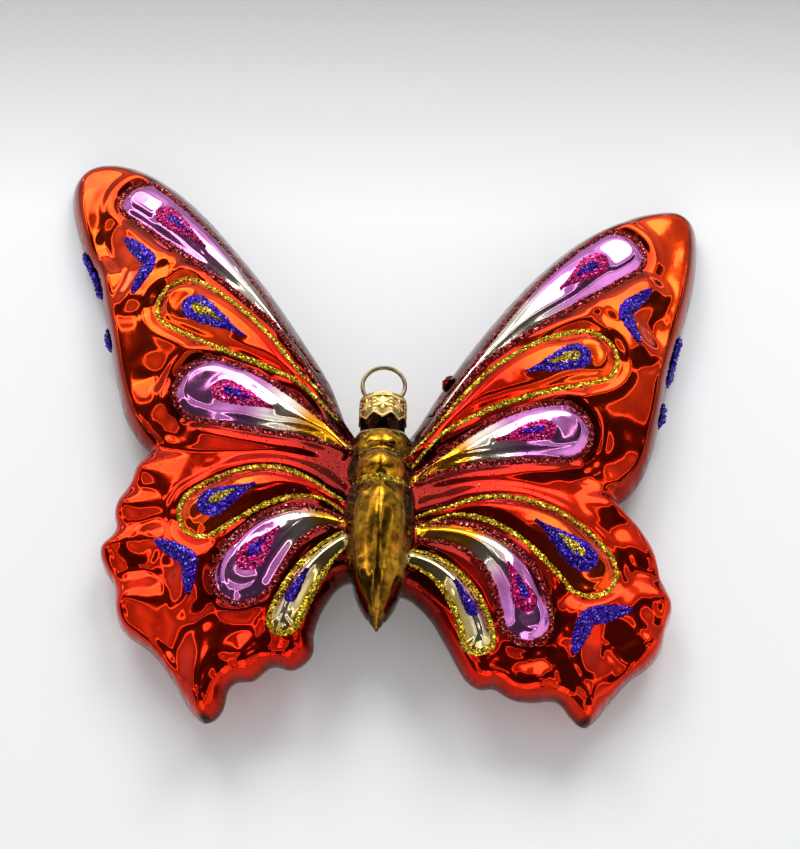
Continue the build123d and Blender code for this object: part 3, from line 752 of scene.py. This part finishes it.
def glitter(colour):
    """Polyester glitter in clear glue: small bright foils, each turned its own way, in tones that differ at
    random, the palest a painted glint.
    """
    material, tree, place = new_material(f"{colour}_polyester_glitter")
    if tree is None:
        return material
    options = settings("glitter")
    base = linear(getattr(options, colour))
    foils = add_node(
        tree, "ShaderNodeTexVoronoi", {"Vector": place, "Scale": per_millimetre(options.grain * FOIL_SHARE)})
    split = add_node(tree, "ShaderNodeSeparateColor", {"Color": foils.outputs["Color"]})
    # Foil tones differ at random; the palest stop is a painted glint
    tone = add_node(tree, "ShaderNodeValToRGB", {"Fac": split.outputs[0]}, stops=(
        (0.0, base * 0.12), (0.45, base * 0.7), (0.85, np.minimum(base * 1.35, 1)),
        (0.97, np.minimum(base * 1.8 + 0.16, 1))))
    gloss = add_node(
        tree, "ShaderNodeMapRange", {"Value": split.outputs[1], "To Min": 0.12, "To Max": 0.5})
    shader = add_node(tree, "ShaderNodeBsdfPrincipled", {
        "Base Color": tone.outputs["Color"], "Metallic": 0.92, "Roughness": gloss.outputs["Result"]})
    add_node(tree, "ShaderNodeOutputMaterial", {"Surface": shader.outputs[0]})
    return material


def gilt_tinplate():
    """Stamped tinplate with a gold lacquer: bright on the raised pattern, brown in the hollows, with painted
    shade on the cap's inside.
    """
    material, tree, place = new_material("gilt_tinplate")
    if tree is None:
        return material
    gold = linear(settings("cap").gilt)
    hollow = add_node(tree, "ShaderNodeAttribute", attribute_name="hollow")
    tone = add_node(tree, "ShaderNodeValToRGB", {"Fac": hollow.outputs["Fac"]}, stops=(
        (0.0, gold * 0.4), (0.5, gold * 0.95), (1.0, np.minimum(gold * 1.3, 1))))
    rub = add_node(
        tree, "ShaderNodeTexNoise", {"Vector": place, "Scale": per_millimetre(0.7), "Detail": 3.0})
    dull = add_node(
        tree, "ShaderNodeMapRange", {"Value": rub.outputs["Fac"], "To Min": 0.18, "To Max": 0.42})
    shader = add_node(tree, "ShaderNodeBsdfPrincipled", {
        "Base Color": tone.outputs["Color"], "Metallic": 1.0, "Roughness": dull.outputs["Result"]})
    add_node(tree, "ShaderNodeOutputMaterial", {"Surface": shader.outputs[0]})
    return material


def brassed_wire():
    """Brass-plated spring wire, drawn and dulled by handling: a soft brown shine."""
    material, tree, place = new_material("brassed_spring_wire")
    if tree is None:
        return material
    brass = linear(settings("cap").wire)
    stain = add_node(
        tree, "ShaderNodeTexNoise", {"Vector": place, "Scale": per_millimetre(1.6), "Detail": 4.0})
    tone = add_node(tree, "ShaderNodeValToRGB", {"Fac": stain.outputs["Fac"]}, stops=(
        (0.3, brass * 0.55), (0.7, np.minimum(brass * 1.3, 1))))
    shader = add_node(tree, "ShaderNodeBsdfPrincipled", {
        "Base Color": tone.outputs["Color"], "Metallic": 1.0, "Roughness": 0.32})
    add_node(tree, "ShaderNodeOutputMaterial", {"Surface": shader.outputs[0]})
    return material


def matt_paper():
    """Matt white paper, with painted shade that greys it far off."""
    material, tree, place = new_material("matt_white_paper")
    if tree is None:
        return material
    stage = settings("stage")
    apart = add_node(tree, "ShaderNodeSeparateXYZ", {"Vector": place})
    # Painted shade: the paper greys towards its far side
    far = add_node(
        tree, "ShaderNodeMapRange", {"Value": apart.outputs["Y"], "From Min": 0.05, "From Max": 0.112})
    tone = add_node(tree, "ShaderNodeValToRGB", {"Fac": far.outputs["Result"]}, stops=(
        (0.0, linear(stage.floor)), (1.0, linear(stage.far_floor_shade))))
    fibre = add_node(tree, "ShaderNodeTexNoise", {"Vector": place, "Scale": per_millimetre(0.4)})
    bump = add_node(
        tree, "ShaderNodeBump", {"Height": fibre.outputs["Fac"], "Strength": 0.05, "Distance": 0.05 * MM})
    shader = add_node(tree, "ShaderNodeBsdfPrincipled", {
        "Base Color": tone.outputs["Color"], "Roughness": 0.7, "Normal": bump.outputs["Normal"]})
    add_node(tree, "ShaderNodeOutputMaterial", {"Surface": shader.outputs[0]})
    return material


def ring_faces(rings, sides, first=0, closed=False):
    """Quads between rings of points, and between the last and the first ring of a closed run."""
    faces = []
    for r in range(rings if closed else rings - 1):
        here, there = first + r * sides, first + (r + 1) % rings * sides
        for s in range(sides):
            t = (s + 1) % sides
            faces.append((here + s, here + t, there + t, there + s))
    return faces


def tube_faces(rings, sides):
    """Quads between rings of points, and a face over each end."""
    last = (rings - 1) * sides
    ends = [tuple(reversed(range(sides))), tuple(last + k for k in range(sides))]
    return ring_faces(rings, sides) + ends


def resample(path, step):
    """Points at an even step along a path."""
    path = np.asarray(path, float)
    reach = np.concatenate([[0], np.cumsum(np.linalg.norm(np.diff(path, axis=0), axis=1))])
    places = np.linspace(0, reach[-1], max(int(reach[-1] / step), 4))
    return np.column_stack([np.interp(places, reach, path[:, k]) for k in (0, 1)])


def headings(path):
    """Unit normals of a path in the plan."""
    run = np.gradient(path, axis=0)
    run /= np.maximum(np.linalg.norm(run, axis=1), 1e-9)[:, None]
    return np.column_stack([-run[:, 1], run[:, 0]])


def grain_step():
    """Spacing of the points of a glitter mesh, in millimetres."""
    return settings("glitter").grain * STEP_SHARE


def from_ends(path):
    """How many points each point of a path is from its nearer end."""
    count = np.arange(len(path))
    return np.minimum(count, count[::-1])


def round_ends(path, half):
    """Shares of a half width that round off the ends of a path."""
    return np.sqrt(np.clip(from_ends(path) * grain_step() / half, 0.05, 1))


class Grains:
    """Gathers the grains of one deposit."""

    def __init__(self, relief, face, seed):
        self.relief, self.face = relief, face
        self.rng = np.random.default_rng(seed)
        self.points, self.faces = [], []
        self.count = 0

    def add(self, points, faces):
        """Adds points, with faces that count from the first of them."""
        self.faces += [tuple(self.count + k for k in face) for face in faces]
        self.points.append(points)
        self.count += len(points)

    def strip(self, path, half, lift=0.0):
        """One strip of grains on the glass, along a path with a half width at each point."""
        step = grain_step()
        lanes = max(5, int(round(2 * float(np.max(half)) / step)) + 1)
        across = np.linspace(-1, 1, lanes)
        half = np.broadcast_to(half, (len(path),)) * (1 + 0.05 * self.rng.standard_normal(len(path)))
        plan = path[:, None, :] + headings(path)[:, None, :] * (half[:, None] * across)[..., None]
        plan += self.rng.uniform(-0.3, 0.3, plan.shape) * step
        flat = plan.reshape(-1, 2)
        crown = np.sqrt(np.maximum(1 - across ** 2, 0))
        bead = np.broadcast_to(crown, plan.shape[:2]) * self.rng.uniform(0.45, 1.0, plan.shape[:2])
        sunk = np.where(np.abs(across) > 0.99, -STRIP_EDGE_DEPTH, 0.0)
        height = self.relief.field(flat)[0] + ((settings("glitter").rise + lift) * bead + sunk).reshape(-1)
        top = self.relief.place(flat, height, self.face).reshape(len(path), lanes, 3)
        ends = plan[:, [-1, 0]].reshape(-1, 2)
        root = self.relief.field(ends)[0] - STRIP_ROOT_DEPTH
        under = self.relief.place(ends, root, self.face).reshape(len(path), 2, 3)
        faces = tube_faces(len(path), lanes + 2)
        rings = np.concatenate([top, under], 1).reshape(-1, 3)
        self.add(rings, [f[::-1] for f in faces] if self.face > 0 else faces)

    def teardrop(self, cell, side, lift):
        """A filled teardrop, from its tail to round its head."""
        step = grain_step()
        along = np.linspace(0, 1, max(int(np.linalg.norm(np.subtract(cell[1], cell[0])) / step), 5))
        point, heading = cell_line(cell, along)
        turn = np.linspace(0, math.pi / 2, max(int(cell[2] / step), 4))[1:]
        tip = point[-1] + np.sin(turn)[:, None] * cell[2] * heading[-1]
        path = np.vstack([point, tip]) * np.array([side, 1])
        width = np.concatenate([cell_half_width(cell, along), cell[2] * np.cos(turn)])
        self.strip(path, np.maximum(width, 0.12), lift)

    def bead(self, path, out, thick, half, level):
        """A grainy bead along a wing's edge, standing out of it, at a level from its middle plane."""
        turn = np.linspace(-math.pi / 2, math.pi / 2, 9)
        swell = round_ends(path, half)[:, None]
        rough = self.rng.uniform(0.65, 1.1, (len(path), len(turn)))
        away = thick * np.cos(turn) * swell * rough - BEAD_ROOT_DEPTH
        plan = path[:, None, :] + out[:, None, :] * away[..., None]
        height = level + half * np.sin(turn) * swell * rough
        points = self.relief.place(plan.reshape(-1, 2), height.reshape(-1), 1)
        self.add(points, tube_faces(len(path), len(turn)))

    def flakes(self, plan):
        """Single flakes that stuck here and there, each with its root in the glass."""
        turn = self.rng.uniform(0, 2 * math.pi, len(plan))[:, None] + np.arange(3) * 2 * math.pi / 3
        reach = self.rng.uniform(0.1, 0.2, len(plan))[:, None]
        tips = np.stack([plan[:, :1] + reach * np.cos(turn), plan[:, 1:] + reach * np.sin(turn)], 2)
        flat = np.vstack([tips.reshape(-1, 2), plan])
        lift = np.append(self.rng.uniform(0.05, 0.22, 3 * len(plan)), np.full(len(plan), -FLAKE_ROOT_DEPTH))
        faces = []
        for k in range(len(plan)):
            a, b, c, root = 3 * k, 3 * k + 1, 3 * k + 2, 3 * len(plan) + k
            faces += [(a, b, c), (b, a, root), (c, b, root), (a, c, root)]
        self.add(self.relief.place(flat, self.relief.field(flat)[0] + lift, self.face), faces)

    def finish(self, name, colour, *nodes):
        """The deposit as a piece on the glass, which may stand for a node."""
        piece = make_object(name, np.vstack(self.points), self.faces, glitter(colour), False)
        dress(piece, "glass", f"{colour}_glitter", *nodes)

    def replace(self, node, colour):
        """The deposit as a piece that stands for its node."""
        self.finish(node + "_glitter", colour, node)


class ORNAMENT_OT_glass(bpy.types.Operator):
    """Blow the glass: wings, body and neck in one lacquered shell"""

    bl_idname = "ornament.glass"
    bl_label = "Glass"

    def execute(self, context):
        relief = Relief()
        plan, keep, edge, rows, columns = glass_points(relief)
        faces = grid_triangles(plan, keep, edge, rows, columns, relief)
        faces, edge = trim_sheet(faces, len(plan))
        used = np.unique(faces)
        index = np.full(len(plan), -1)
        index[used] = np.arange(len(used))
        plan, edge, faces = plan[used], edge[used], index[faces]
        height, _, colour = relief.field(plan, paint=True)
        height = np.where(edge, 0.0, np.maximum(height, 0.05))
        height = relax(height, faces, edge)
        front = relief.place(plan, height, 1)
        inner = np.flatnonzero(~edge)
        twin = np.arange(len(plan))
        twin[inner] = len(plan) + np.arange(len(inner))
        back = relief.place(plan[inner], height[inner], -1)
        points = np.vstack([front, back])
        all_faces = np.vstack([faces, twin[faces][:, ::-1]])
        neck = self.neck()
        neck_faces = ring_faces(len(NECK), len(neck) // len(NECK), len(points), closed=True)
        points = np.vstack([points, neck])
        faces = list(all_faces) + neck_faces
        shell = make_object("lacquered_glass", points, faces, silvered_glass(), True)
        # Painted shadow: the neck under the cap is painted half-dark umber
        neck_painted_shadow = np.tile(np.append(linear(relief.glass.umber) * 0.5, 0.1), (len(neck), 1))
        paint = np.vstack([colour, colour[inner], neck_painted_shadow])
        layer = shell.data.color_attributes.new("lacquer_and_shade", "FLOAT_COLOR", "POINT")
        layer.data.foreach_set("color", paint.astype(np.float32).ravel())
        dress(shell, "glass", "lacquered_glass", "glass_shell")
        return {"FINISHED"}

    def neck(self):
        """The open neck, a tube that the cap sits on."""
        turns = np.linspace(0, 2 * math.pi, 48, endpoint=False)
        return np.array([(r * math.sin(t), y, r * math.cos(t)) for r, y in NECK for t in turns])


class ORNAMENT_OT_rims(bpy.types.Operator):
    """Lay the glitter rims round the cells"""

    bl_idname = "ornament.rims"
    bl_label = "Rims"

    def execute(self, context):
        relief = Relief()
        options = settings("glitter")
        for face_name, face in FACES.items():
            for number, (name, sides) in enumerate(CELLS.items()):
                colour = GLITTER_OF[name][0]
                half = options.red_half if colour == "red" else options.rim_half
                grains = Grains(relief, face, 100 + number * 2 + face)
                for side, cell in sides.items():
                    loop = cell_loop(cell, RIM_STARTS[name], TAIL_SPREAD, steps=60, head_steps=40)
                    path = resample(loop * np.array([side, 1]), grain_step())
                    clear = np.abs(path[:, 0]) > body_half_width(path[:, 1]) - 0.2
                    path = path[clear & (relief.field(path)[1] > 0.8)]
                    tail = from_ends(path) / len(path)
                    grains.strip(path, half * (0.62 + 0.38 * ramp(tail, 0.02, 0.2)))
                grains.replace(f"{face_name}_{name}_rim", colour)
        return {"FINISHED"}


class ORNAMENT_OT_eyes(bpy.types.Operator):
    """Lay the eye spots and their pupils"""

    bl_idname = "ornament.eyes"
    bl_label = "Eye spots"

    def execute(self, context):
        relief = Relief()
        for face_name, face in FACES.items():
            for number, (name, sides) in enumerate(CELLS.items()):
                eye_colour, pupil_colour = GLITTER_OF[name][1:]
                eyes = Grains(relief, face, 200 + number * 2 + face)
                pupils = Grains(relief, face, 300 + number * 2 + face)
                for side, cell in sides.items():
                    head, tail, share = EYES[name]
                    eyes.teardrop(eye_cell(cell, head, tail, share * cell[2]), side, 0.0)
                    if pupil_colour:
                        p_head, p_tail, p_share = PUPILS[name]
                        pupil = eye_cell(cell, p_head, p_tail, p_share * share * cell[2])
                        pupils.teardrop(pupil, side, PUPIL_LIFT)
                eyes.replace(f"{face_name}_{name}_eye", eye_colour)
                if pupil_colour:
                    pupils.replace(f"{face_name}_{name}_pupil", pupil_colour)
        return {"FINISHED"}


class ORNAMENT_OT_chevrons(bpy.types.Operator):
    """Lay the chevrons"""

    bl_idname = "ornament.chevrons"
    bl_label = "Chevrons"

    def execute(self, context):
        relief = Relief()
        half = settings("glitter").stroke_half
        for face_name, face in FACES.items():
            for number, (wing, sides) in enumerate(CHEVRONS.items()):
                grains = Grains(relief, face, 400 + number * 2 + face)
                for side, (start, corner, end) in sides.items():
                    t = np.linspace(0, 1, 60)[:, None]
                    start, corner, end = (np.array(p, float) for p in (start, corner, end))
                    arms = np.vstack([start + (corner - start) * t, corner + (end - corner) * t[1:]])
                    arms[30:90] = sum(arms[30 + k:90 + k] for k in range(-12, 13)) / 25
                    path = resample(arms * np.array([side, 1]), grain_step())
                    taper = 0.6 + 0.4 * ramp(from_ends(path) * grain_step(), 0.5, 6.0)
                    grains.strip(path, half * round_ends(path, half) * taper)
                grains.replace(f"{face_name}_{wing}_chevron", "purple")
        return {"FINISHED"}


class ORNAMENT_OT_bands(bpy.types.Operator):
    """Lay the glitter collars across the body"""

    bl_idname = "ornament.bands"
    bl_label = "Collars"

    def execute(self, context):
        relief = Relief()
        parts = []
        for face in FACES.values():
            for along, across, half in COLLARS:
                grains = Grains(relief, face, 500 + face + int(along))
                path = np.column_stack([np.linspace(-across, across, 34), np.full(34, along)])
                grains.strip(path, half)
                parts.append(grains)
        whole = parts[0]
        for more in parts[1:]:
            whole.add(np.vstack(more.points), more.faces)
        whole.replace("body_bands", "gold")
        return {"FINISHED"}


class ORNAMENT_OT_edges(bpy.types.Operator):
    """Lay the glitter that ran over the wings' edges"""

    bl_idname = "ornament.edges"
    bl_label = "Edge glitter"

    def execute(self, context):
        relief = Relief()
        runs = Grains(relief, -1, 601)
        for run in EDGE_RUNS:
            runs.bead(*self.edge(relief, *run), thick=1.25, half=1.6, level=-0.4)
        runs.finish("edge_glitter", "purple")
        blob = Grains(relief, 1, 602)
        blob.bead(*self.edge(relief, *BLOB_RUN), thick=1.2, half=1.5, level=1.4)
        blob.finish("glitter_blob", "red")
        dust = Grains(relief, 1, 603)
        spots = dust.rng.normal((0.0, 3.0), (15.0, 6.0), (700, 2))
        on_wing = np.abs(spots[:, 0]) > body_half_width(spots[:, 1])
        dust.flakes(spots[(relief.field(spots)[1] > 1.5) & on_wing])
        dust.finish("loose_glitter", "red")
        return {"FINISHED"}

    def edge(self, relief, side, low, high, least):
        """A run along an upper wing's edge, and the way out of the wing at each point."""
        loop = relief.outlines["upper", side]
        out, up = loop.T
        part = loop[(up > low) & (up < high) & (out > least) & (out < least + 25)]
        path = resample(part * np.array([side, 1]), grain_step())
        out = headings(path)
        inward = relief.field(path + out)[1].mean() > relief.field(path - out)[1].mean()
        return path, -out if inward else out


class ORNAMENT_OT_cap(bpy.types.Operator):
    """Stamp the toothed cap"""

    bl_idname = "ornament.cap"
    bl_label = "Cap"

    def execute(self, context):
        cap = settings("cap")
        turns, rows = 256, 56
        angle = np.linspace(0, 2 * math.pi, turns, endpoint=False)
        panel = (angle * cap.teeth / (2 * math.pi) + 0.5) % 1 - 0.5
        foot = cap.bottom + cap.tooth * np.abs(panel) * 2
        share = np.linspace(0, 1, rows)[:, None]
        y = foot + (CAP_TOP - 0.35 - foot) * share
        press = self.pattern(panel, y, foot, cap)
        flat = 1 - 0.03 * (1 - 4 * panel ** 2)
        radius = (cap.radius - 0.17) * flat + cap.emboss * press
        wall = np.stack([radius * np.sin(angle), y, radius * np.cos(angle)], 2)
        top_radii = np.array([4.18, 4.05, 3.9, 3.3, 2.2, 1.0])
        top_rise = np.array([-0.16, -0.05, 0.0, -0.06, -0.08, -0.08])
        flute = 1 + 0.012 * np.cos(32 * angle)
        top = np.stack([
            top_radii[:, None] * flute * np.sin(angle),
            np.broadcast_to((CAP_TOP + top_rise)[:, None], (6, turns)),
            top_radii[:, None] * flute * np.cos(angle)], 2)
        inner_radius = cap.radius - cap.sheet - 0.14
        inner_y = np.stack([np.full(turns, CAP_TOP - 0.4), foot])
        round_wall = np.full((2, turns), inner_radius)
        inner = np.stack([round_wall * np.sin(angle), inner_y, round_wall * np.cos(angle)], 2)
        rings = np.concatenate([inner, wall, top]).reshape(-1, 3)
        count = 2 + rows + 6
        points = np.vstack([rings, [[0, CAP_TOP - 0.08, 0], [0, CAP_TOP - 0.4, 0]]])
        faces = ring_faces(count, turns)
        last = (count - 1) * turns
        for s in range(turns):
            t = (s + 1) % turns
            faces.append((last + s, last + t, len(points) - 2))
            faces.append((t, s, len(points) - 1))
        piece = make_object("gilt_cap", points, [f[::-1] for f in faces], gilt_tinplate(), True)
        # The cap's inside is set low on the ramp: painted shade inside the cap
        inside, over = np.full(2 * turns, 0.1), np.full(6 * turns, 0.75)
        hollow = np.concatenate([inside, press.ravel(), over, [0.6, 0.1]])
        layer = piece.data.attributes.new("hollow", "FLOAT", "POINT")
        layer.data.foreach_set("value", hollow.astype(np.float32))
        dress(piece, "cap", "gold_cap", "cap")
        return {"FINISHED"}

    def pattern(self, panel, y, foot, cap):
        """The stamped relief of a panel, from 0 in the hollows to 1: a leaf star between beaded seams."""
        across = panel[None, :] * 2 * math.pi * cap.radius / cap.teeth
        rise = y - STAR_PLACE
        seam = ramp(np.abs(across), 1.36, 1.52) * (0.5 + 0.5 * np.cos(2 * math.pi * y / 0.7))
        leaf = np.zeros_like(y)
        for turn in (0, 60, 120):
            c, n = math.cos(math.radians(turn)), math.sin(math.radians(turn))
            along, aside = across * n + rise * c, across * c - rise * n
            reach = np.abs(along)
            half = 0.12 + 0.2 * np.sin(np.clip(reach / 1.25, 0, 1) * math.pi)
            leaf = np.maximum(leaf, bell(aside, half) * (reach < 1.25))
        border = bell(y - BORDER_PLACE, 0.2) + bell(y - foot - 0.3, 0.16)
        return np.clip(np.maximum(np.maximum(leaf, seam), border), 0, 1)


class ORNAMENT_OT_wire(bpy.types.Operator):
    """Bend the hanging wire"""

    bl_idname = "ornament.wire"
    bl_label = "Wire"

    def execute(self, context):
        leg, foot, rise, bend, loop, radius = 2.9, 5.0, CAP_TOP + 0.3, 1.2, 3.85, 0.37
        swing = math.acos((leg + bend) / (loop + bend))
        middle = rise + (loop + bend) * math.sin(swing)
        right = [(leg, foot), (leg, (foot + rise) / 2), (leg, rise)]
        for t in np.linspace(0, swing, 8)[1:]:
            right.append((leg + bend - bend * math.cos(t), rise + bend * math.sin(t)))
        around = np.linspace(-swing, math.pi + swing, 60)
        ring = [(loop * math.cos(t), middle + loop * math.sin(t)) for t in around]
        path = np.array(right + ring[1:-1] + [(-x, y) for x, y in reversed(right)])
        normal = headings(path)
        flat = np.zeros(len(path))
        turn = np.linspace(0, 2 * math.pi, 14, endpoint=False)[None, :, None]
        points = (
            np.column_stack([path, flat])[:, None, :]
            + radius * np.cos(turn) * np.column_stack([normal, flat])[:, None, :]
            + radius * np.sin(turn) * np.array([0, 0, 1.0])
        ).reshape(-1, 3)
        faces = tube_faces(len(path), 14)
        piece = make_object("hanging_wire", points, faces, brassed_wire(), True)
        dress(piece, "hanger", "brassed_wire", "hanger_wire")
        return {"FINISHED"}


class ORNAMENT_OT_stage(bpy.types.Operator):
    """Set the camera, the paper floor and the lamps"""

    bl_idname = "ornament.stage"
    bl_label = "Stage"

    def execute(self, context):
        stage = settings("stage")
        scene = context.scene
        scene.view_settings.view_transform = "Standard"
        aim = AXIS + np.array(AIM) * MM
        azimuth, elevation = math.radians(stage.azimuth), math.radians(stage.elevation)
        level = math.cos(elevation)
        away = np.array([math.sin(azimuth) * level, -math.cos(azimuth) * level, math.sin(elevation)])
        camera = bpy.data.objects.new("camera", bpy.data.cameras.new("camera"))
        camera.data.lens = stage.lens
        camera.data.sensor_width = 36.0
        camera.data.clip_start = 0.01
        camera.location = aim + stage.distance * MM * away
        camera.rotation_euler = (math.pi / 2 - elevation, 0.0, azimuth)
        scene.collection.objects.link(camera)
        scene.camera = camera
        self.lay_floor()
        self.hang_lamps(stage)
        self.light_room(away)
        return {"FINISHED"}

    def lay_floor(self):
        """A sheet of white paper."""
        mesh = bpy.data.meshes.new("paper_floor")
        mesh.from_pydata([(-3, -3, 0), (3, -3, 0), (3, 3, 0), (-3, 3, 0)], [], [(0, 1, 2, 3)])
        floor = bpy.data.objects.new("paper_floor", mesh)
        bpy.context.scene.collection.objects.link(floor)
        mesh.materials.append(matt_paper())

    def hang_lamps(self, stage):
        """Two soft lamps behind, left and right, and a white card in front that bounces them back."""
        for name, place, size, power in LAMPS:
            lamp = bpy.data.objects.new(name, bpy.data.lights.new(name, "AREA"))
            lamp.data.energy = stage.lamp * power
            lamp.data.size = size
            lamp.location = place
            aim = np.array(lamp.location) - np.array([0, 0, 0.01])
            lamp.rotation_euler = (
                math.atan2(math.hypot(aim[0], aim[1]), aim[2]), 0.0, math.atan2(aim[0], -aim[1]))
            bpy.context.scene.collection.objects.link(lamp)

    def light_room(self, viewer):
        """A pale room that the glass mirrors, with dark patches and a dark place where the viewer stands."""
        world = bpy.data.worlds.new("room")
        bpy.context.scene.world = world
        world.use_nodes = True
        tree = world.node_tree
        tree.nodes.clear()
        place = add_node(tree, "ShaderNodeTexCoord").outputs["Generated"]
        patches = add_node(
            tree, "ShaderNodeTexNoise", {"Vector": place, "Scale": 1.6, "Detail": 0.5, "Distortion": 0.4})
        toward = add_node(tree, "ShaderNodeVectorMath", {0: place, 1: tuple(viewer)}, operation="DOT_PRODUCT")
        shade = add_node(tree, "ShaderNodeMapRange", {
            "Value": toward.outputs["Value"], "From Min": 0.74, "From Max": 0.92, "To Max": 0.2})
        level = add_node(
            tree, "ShaderNodeMath", {0: patches.outputs["Fac"], 1: shade.outputs["Result"]},
            operation="SUBTRACT")
        room = add_node(tree, "ShaderNodeValToRGB", {"Fac": level.outputs[0]}, stops=ROOM)
        rays = add_node(tree, "ShaderNodeLightPath").outputs
        mirrored = add_node(
            tree, "ShaderNodeMix", {0: rays["Is Glossy Ray"], 6: ROOM_DIFFUSE, 7: room.outputs["Color"]},
            data_type="RGBA")
        seen = add_node(
            tree, "ShaderNodeMix", {0: rays["Is Camera Ray"], 6: mirrored.outputs[2], 7: ROOM_SEEN},
            data_type="RGBA")
        back = add_node(tree, "ShaderNodeBackground", {"Color": seen.outputs[2], "Strength": 1.0})
        add_node(tree, "ShaderNodeOutputWorld", {"Surface": back.outputs[0]})


class ORNAMENT_PT_panel(bpy.types.Panel):
    """Lists the ornament's pieces"""

    bl_idname = "ORNAMENT_PT_panel"
    bl_label = "Ornament"
    bl_space_type = "VIEW_3D"
    bl_region_type = "UI"
    bl_category = "Ornament"

    def draw(self, context):
        for piece in PIECES:
            self.layout.operator(piece.bl_idname)


SETTINGS = {"glass": GlassSettings, "glitter": GlitterSettings, "cap": CapSettings, "stage": StageSettings}
PIECES = (
    ORNAMENT_OT_stage, ORNAMENT_OT_glass, ORNAMENT_OT_rims, ORNAMENT_OT_eyes, ORNAMENT_OT_chevrons,
    ORNAMENT_OT_bands, ORNAMENT_OT_edges, ORNAMENT_OT_cap, ORNAMENT_OT_wire,
)


def register():
    """Registers the settings, the operators and the panel."""
    for name, group in SETTINGS.items():
        bpy.utils.register_class(group)
        setattr(bpy.types.Scene, name, PointerProperty(type=group))
    for piece in (*PIECES, ORNAMENT_PT_panel):
        bpy.utils.register_class(piece)


def unregister():
    """Takes the add-on out again."""
    for piece in (ORNAMENT_PT_panel, *reversed(PIECES)):
        bpy.utils.unregister_class(piece)
    for name, group in SETTINGS.items():
        delattr(bpy.types.Scene, name)
        bpy.utils.unregister_class(group)


def main():
    """Registers the add-on and builds the ornament, piece by piece."""
    register()
    for piece in PIECES:
        family, name = piece.bl_idname.split(".")
        getattr(getattr(bpy.ops, family), name)()


if __name__ == "__main__":
    main()
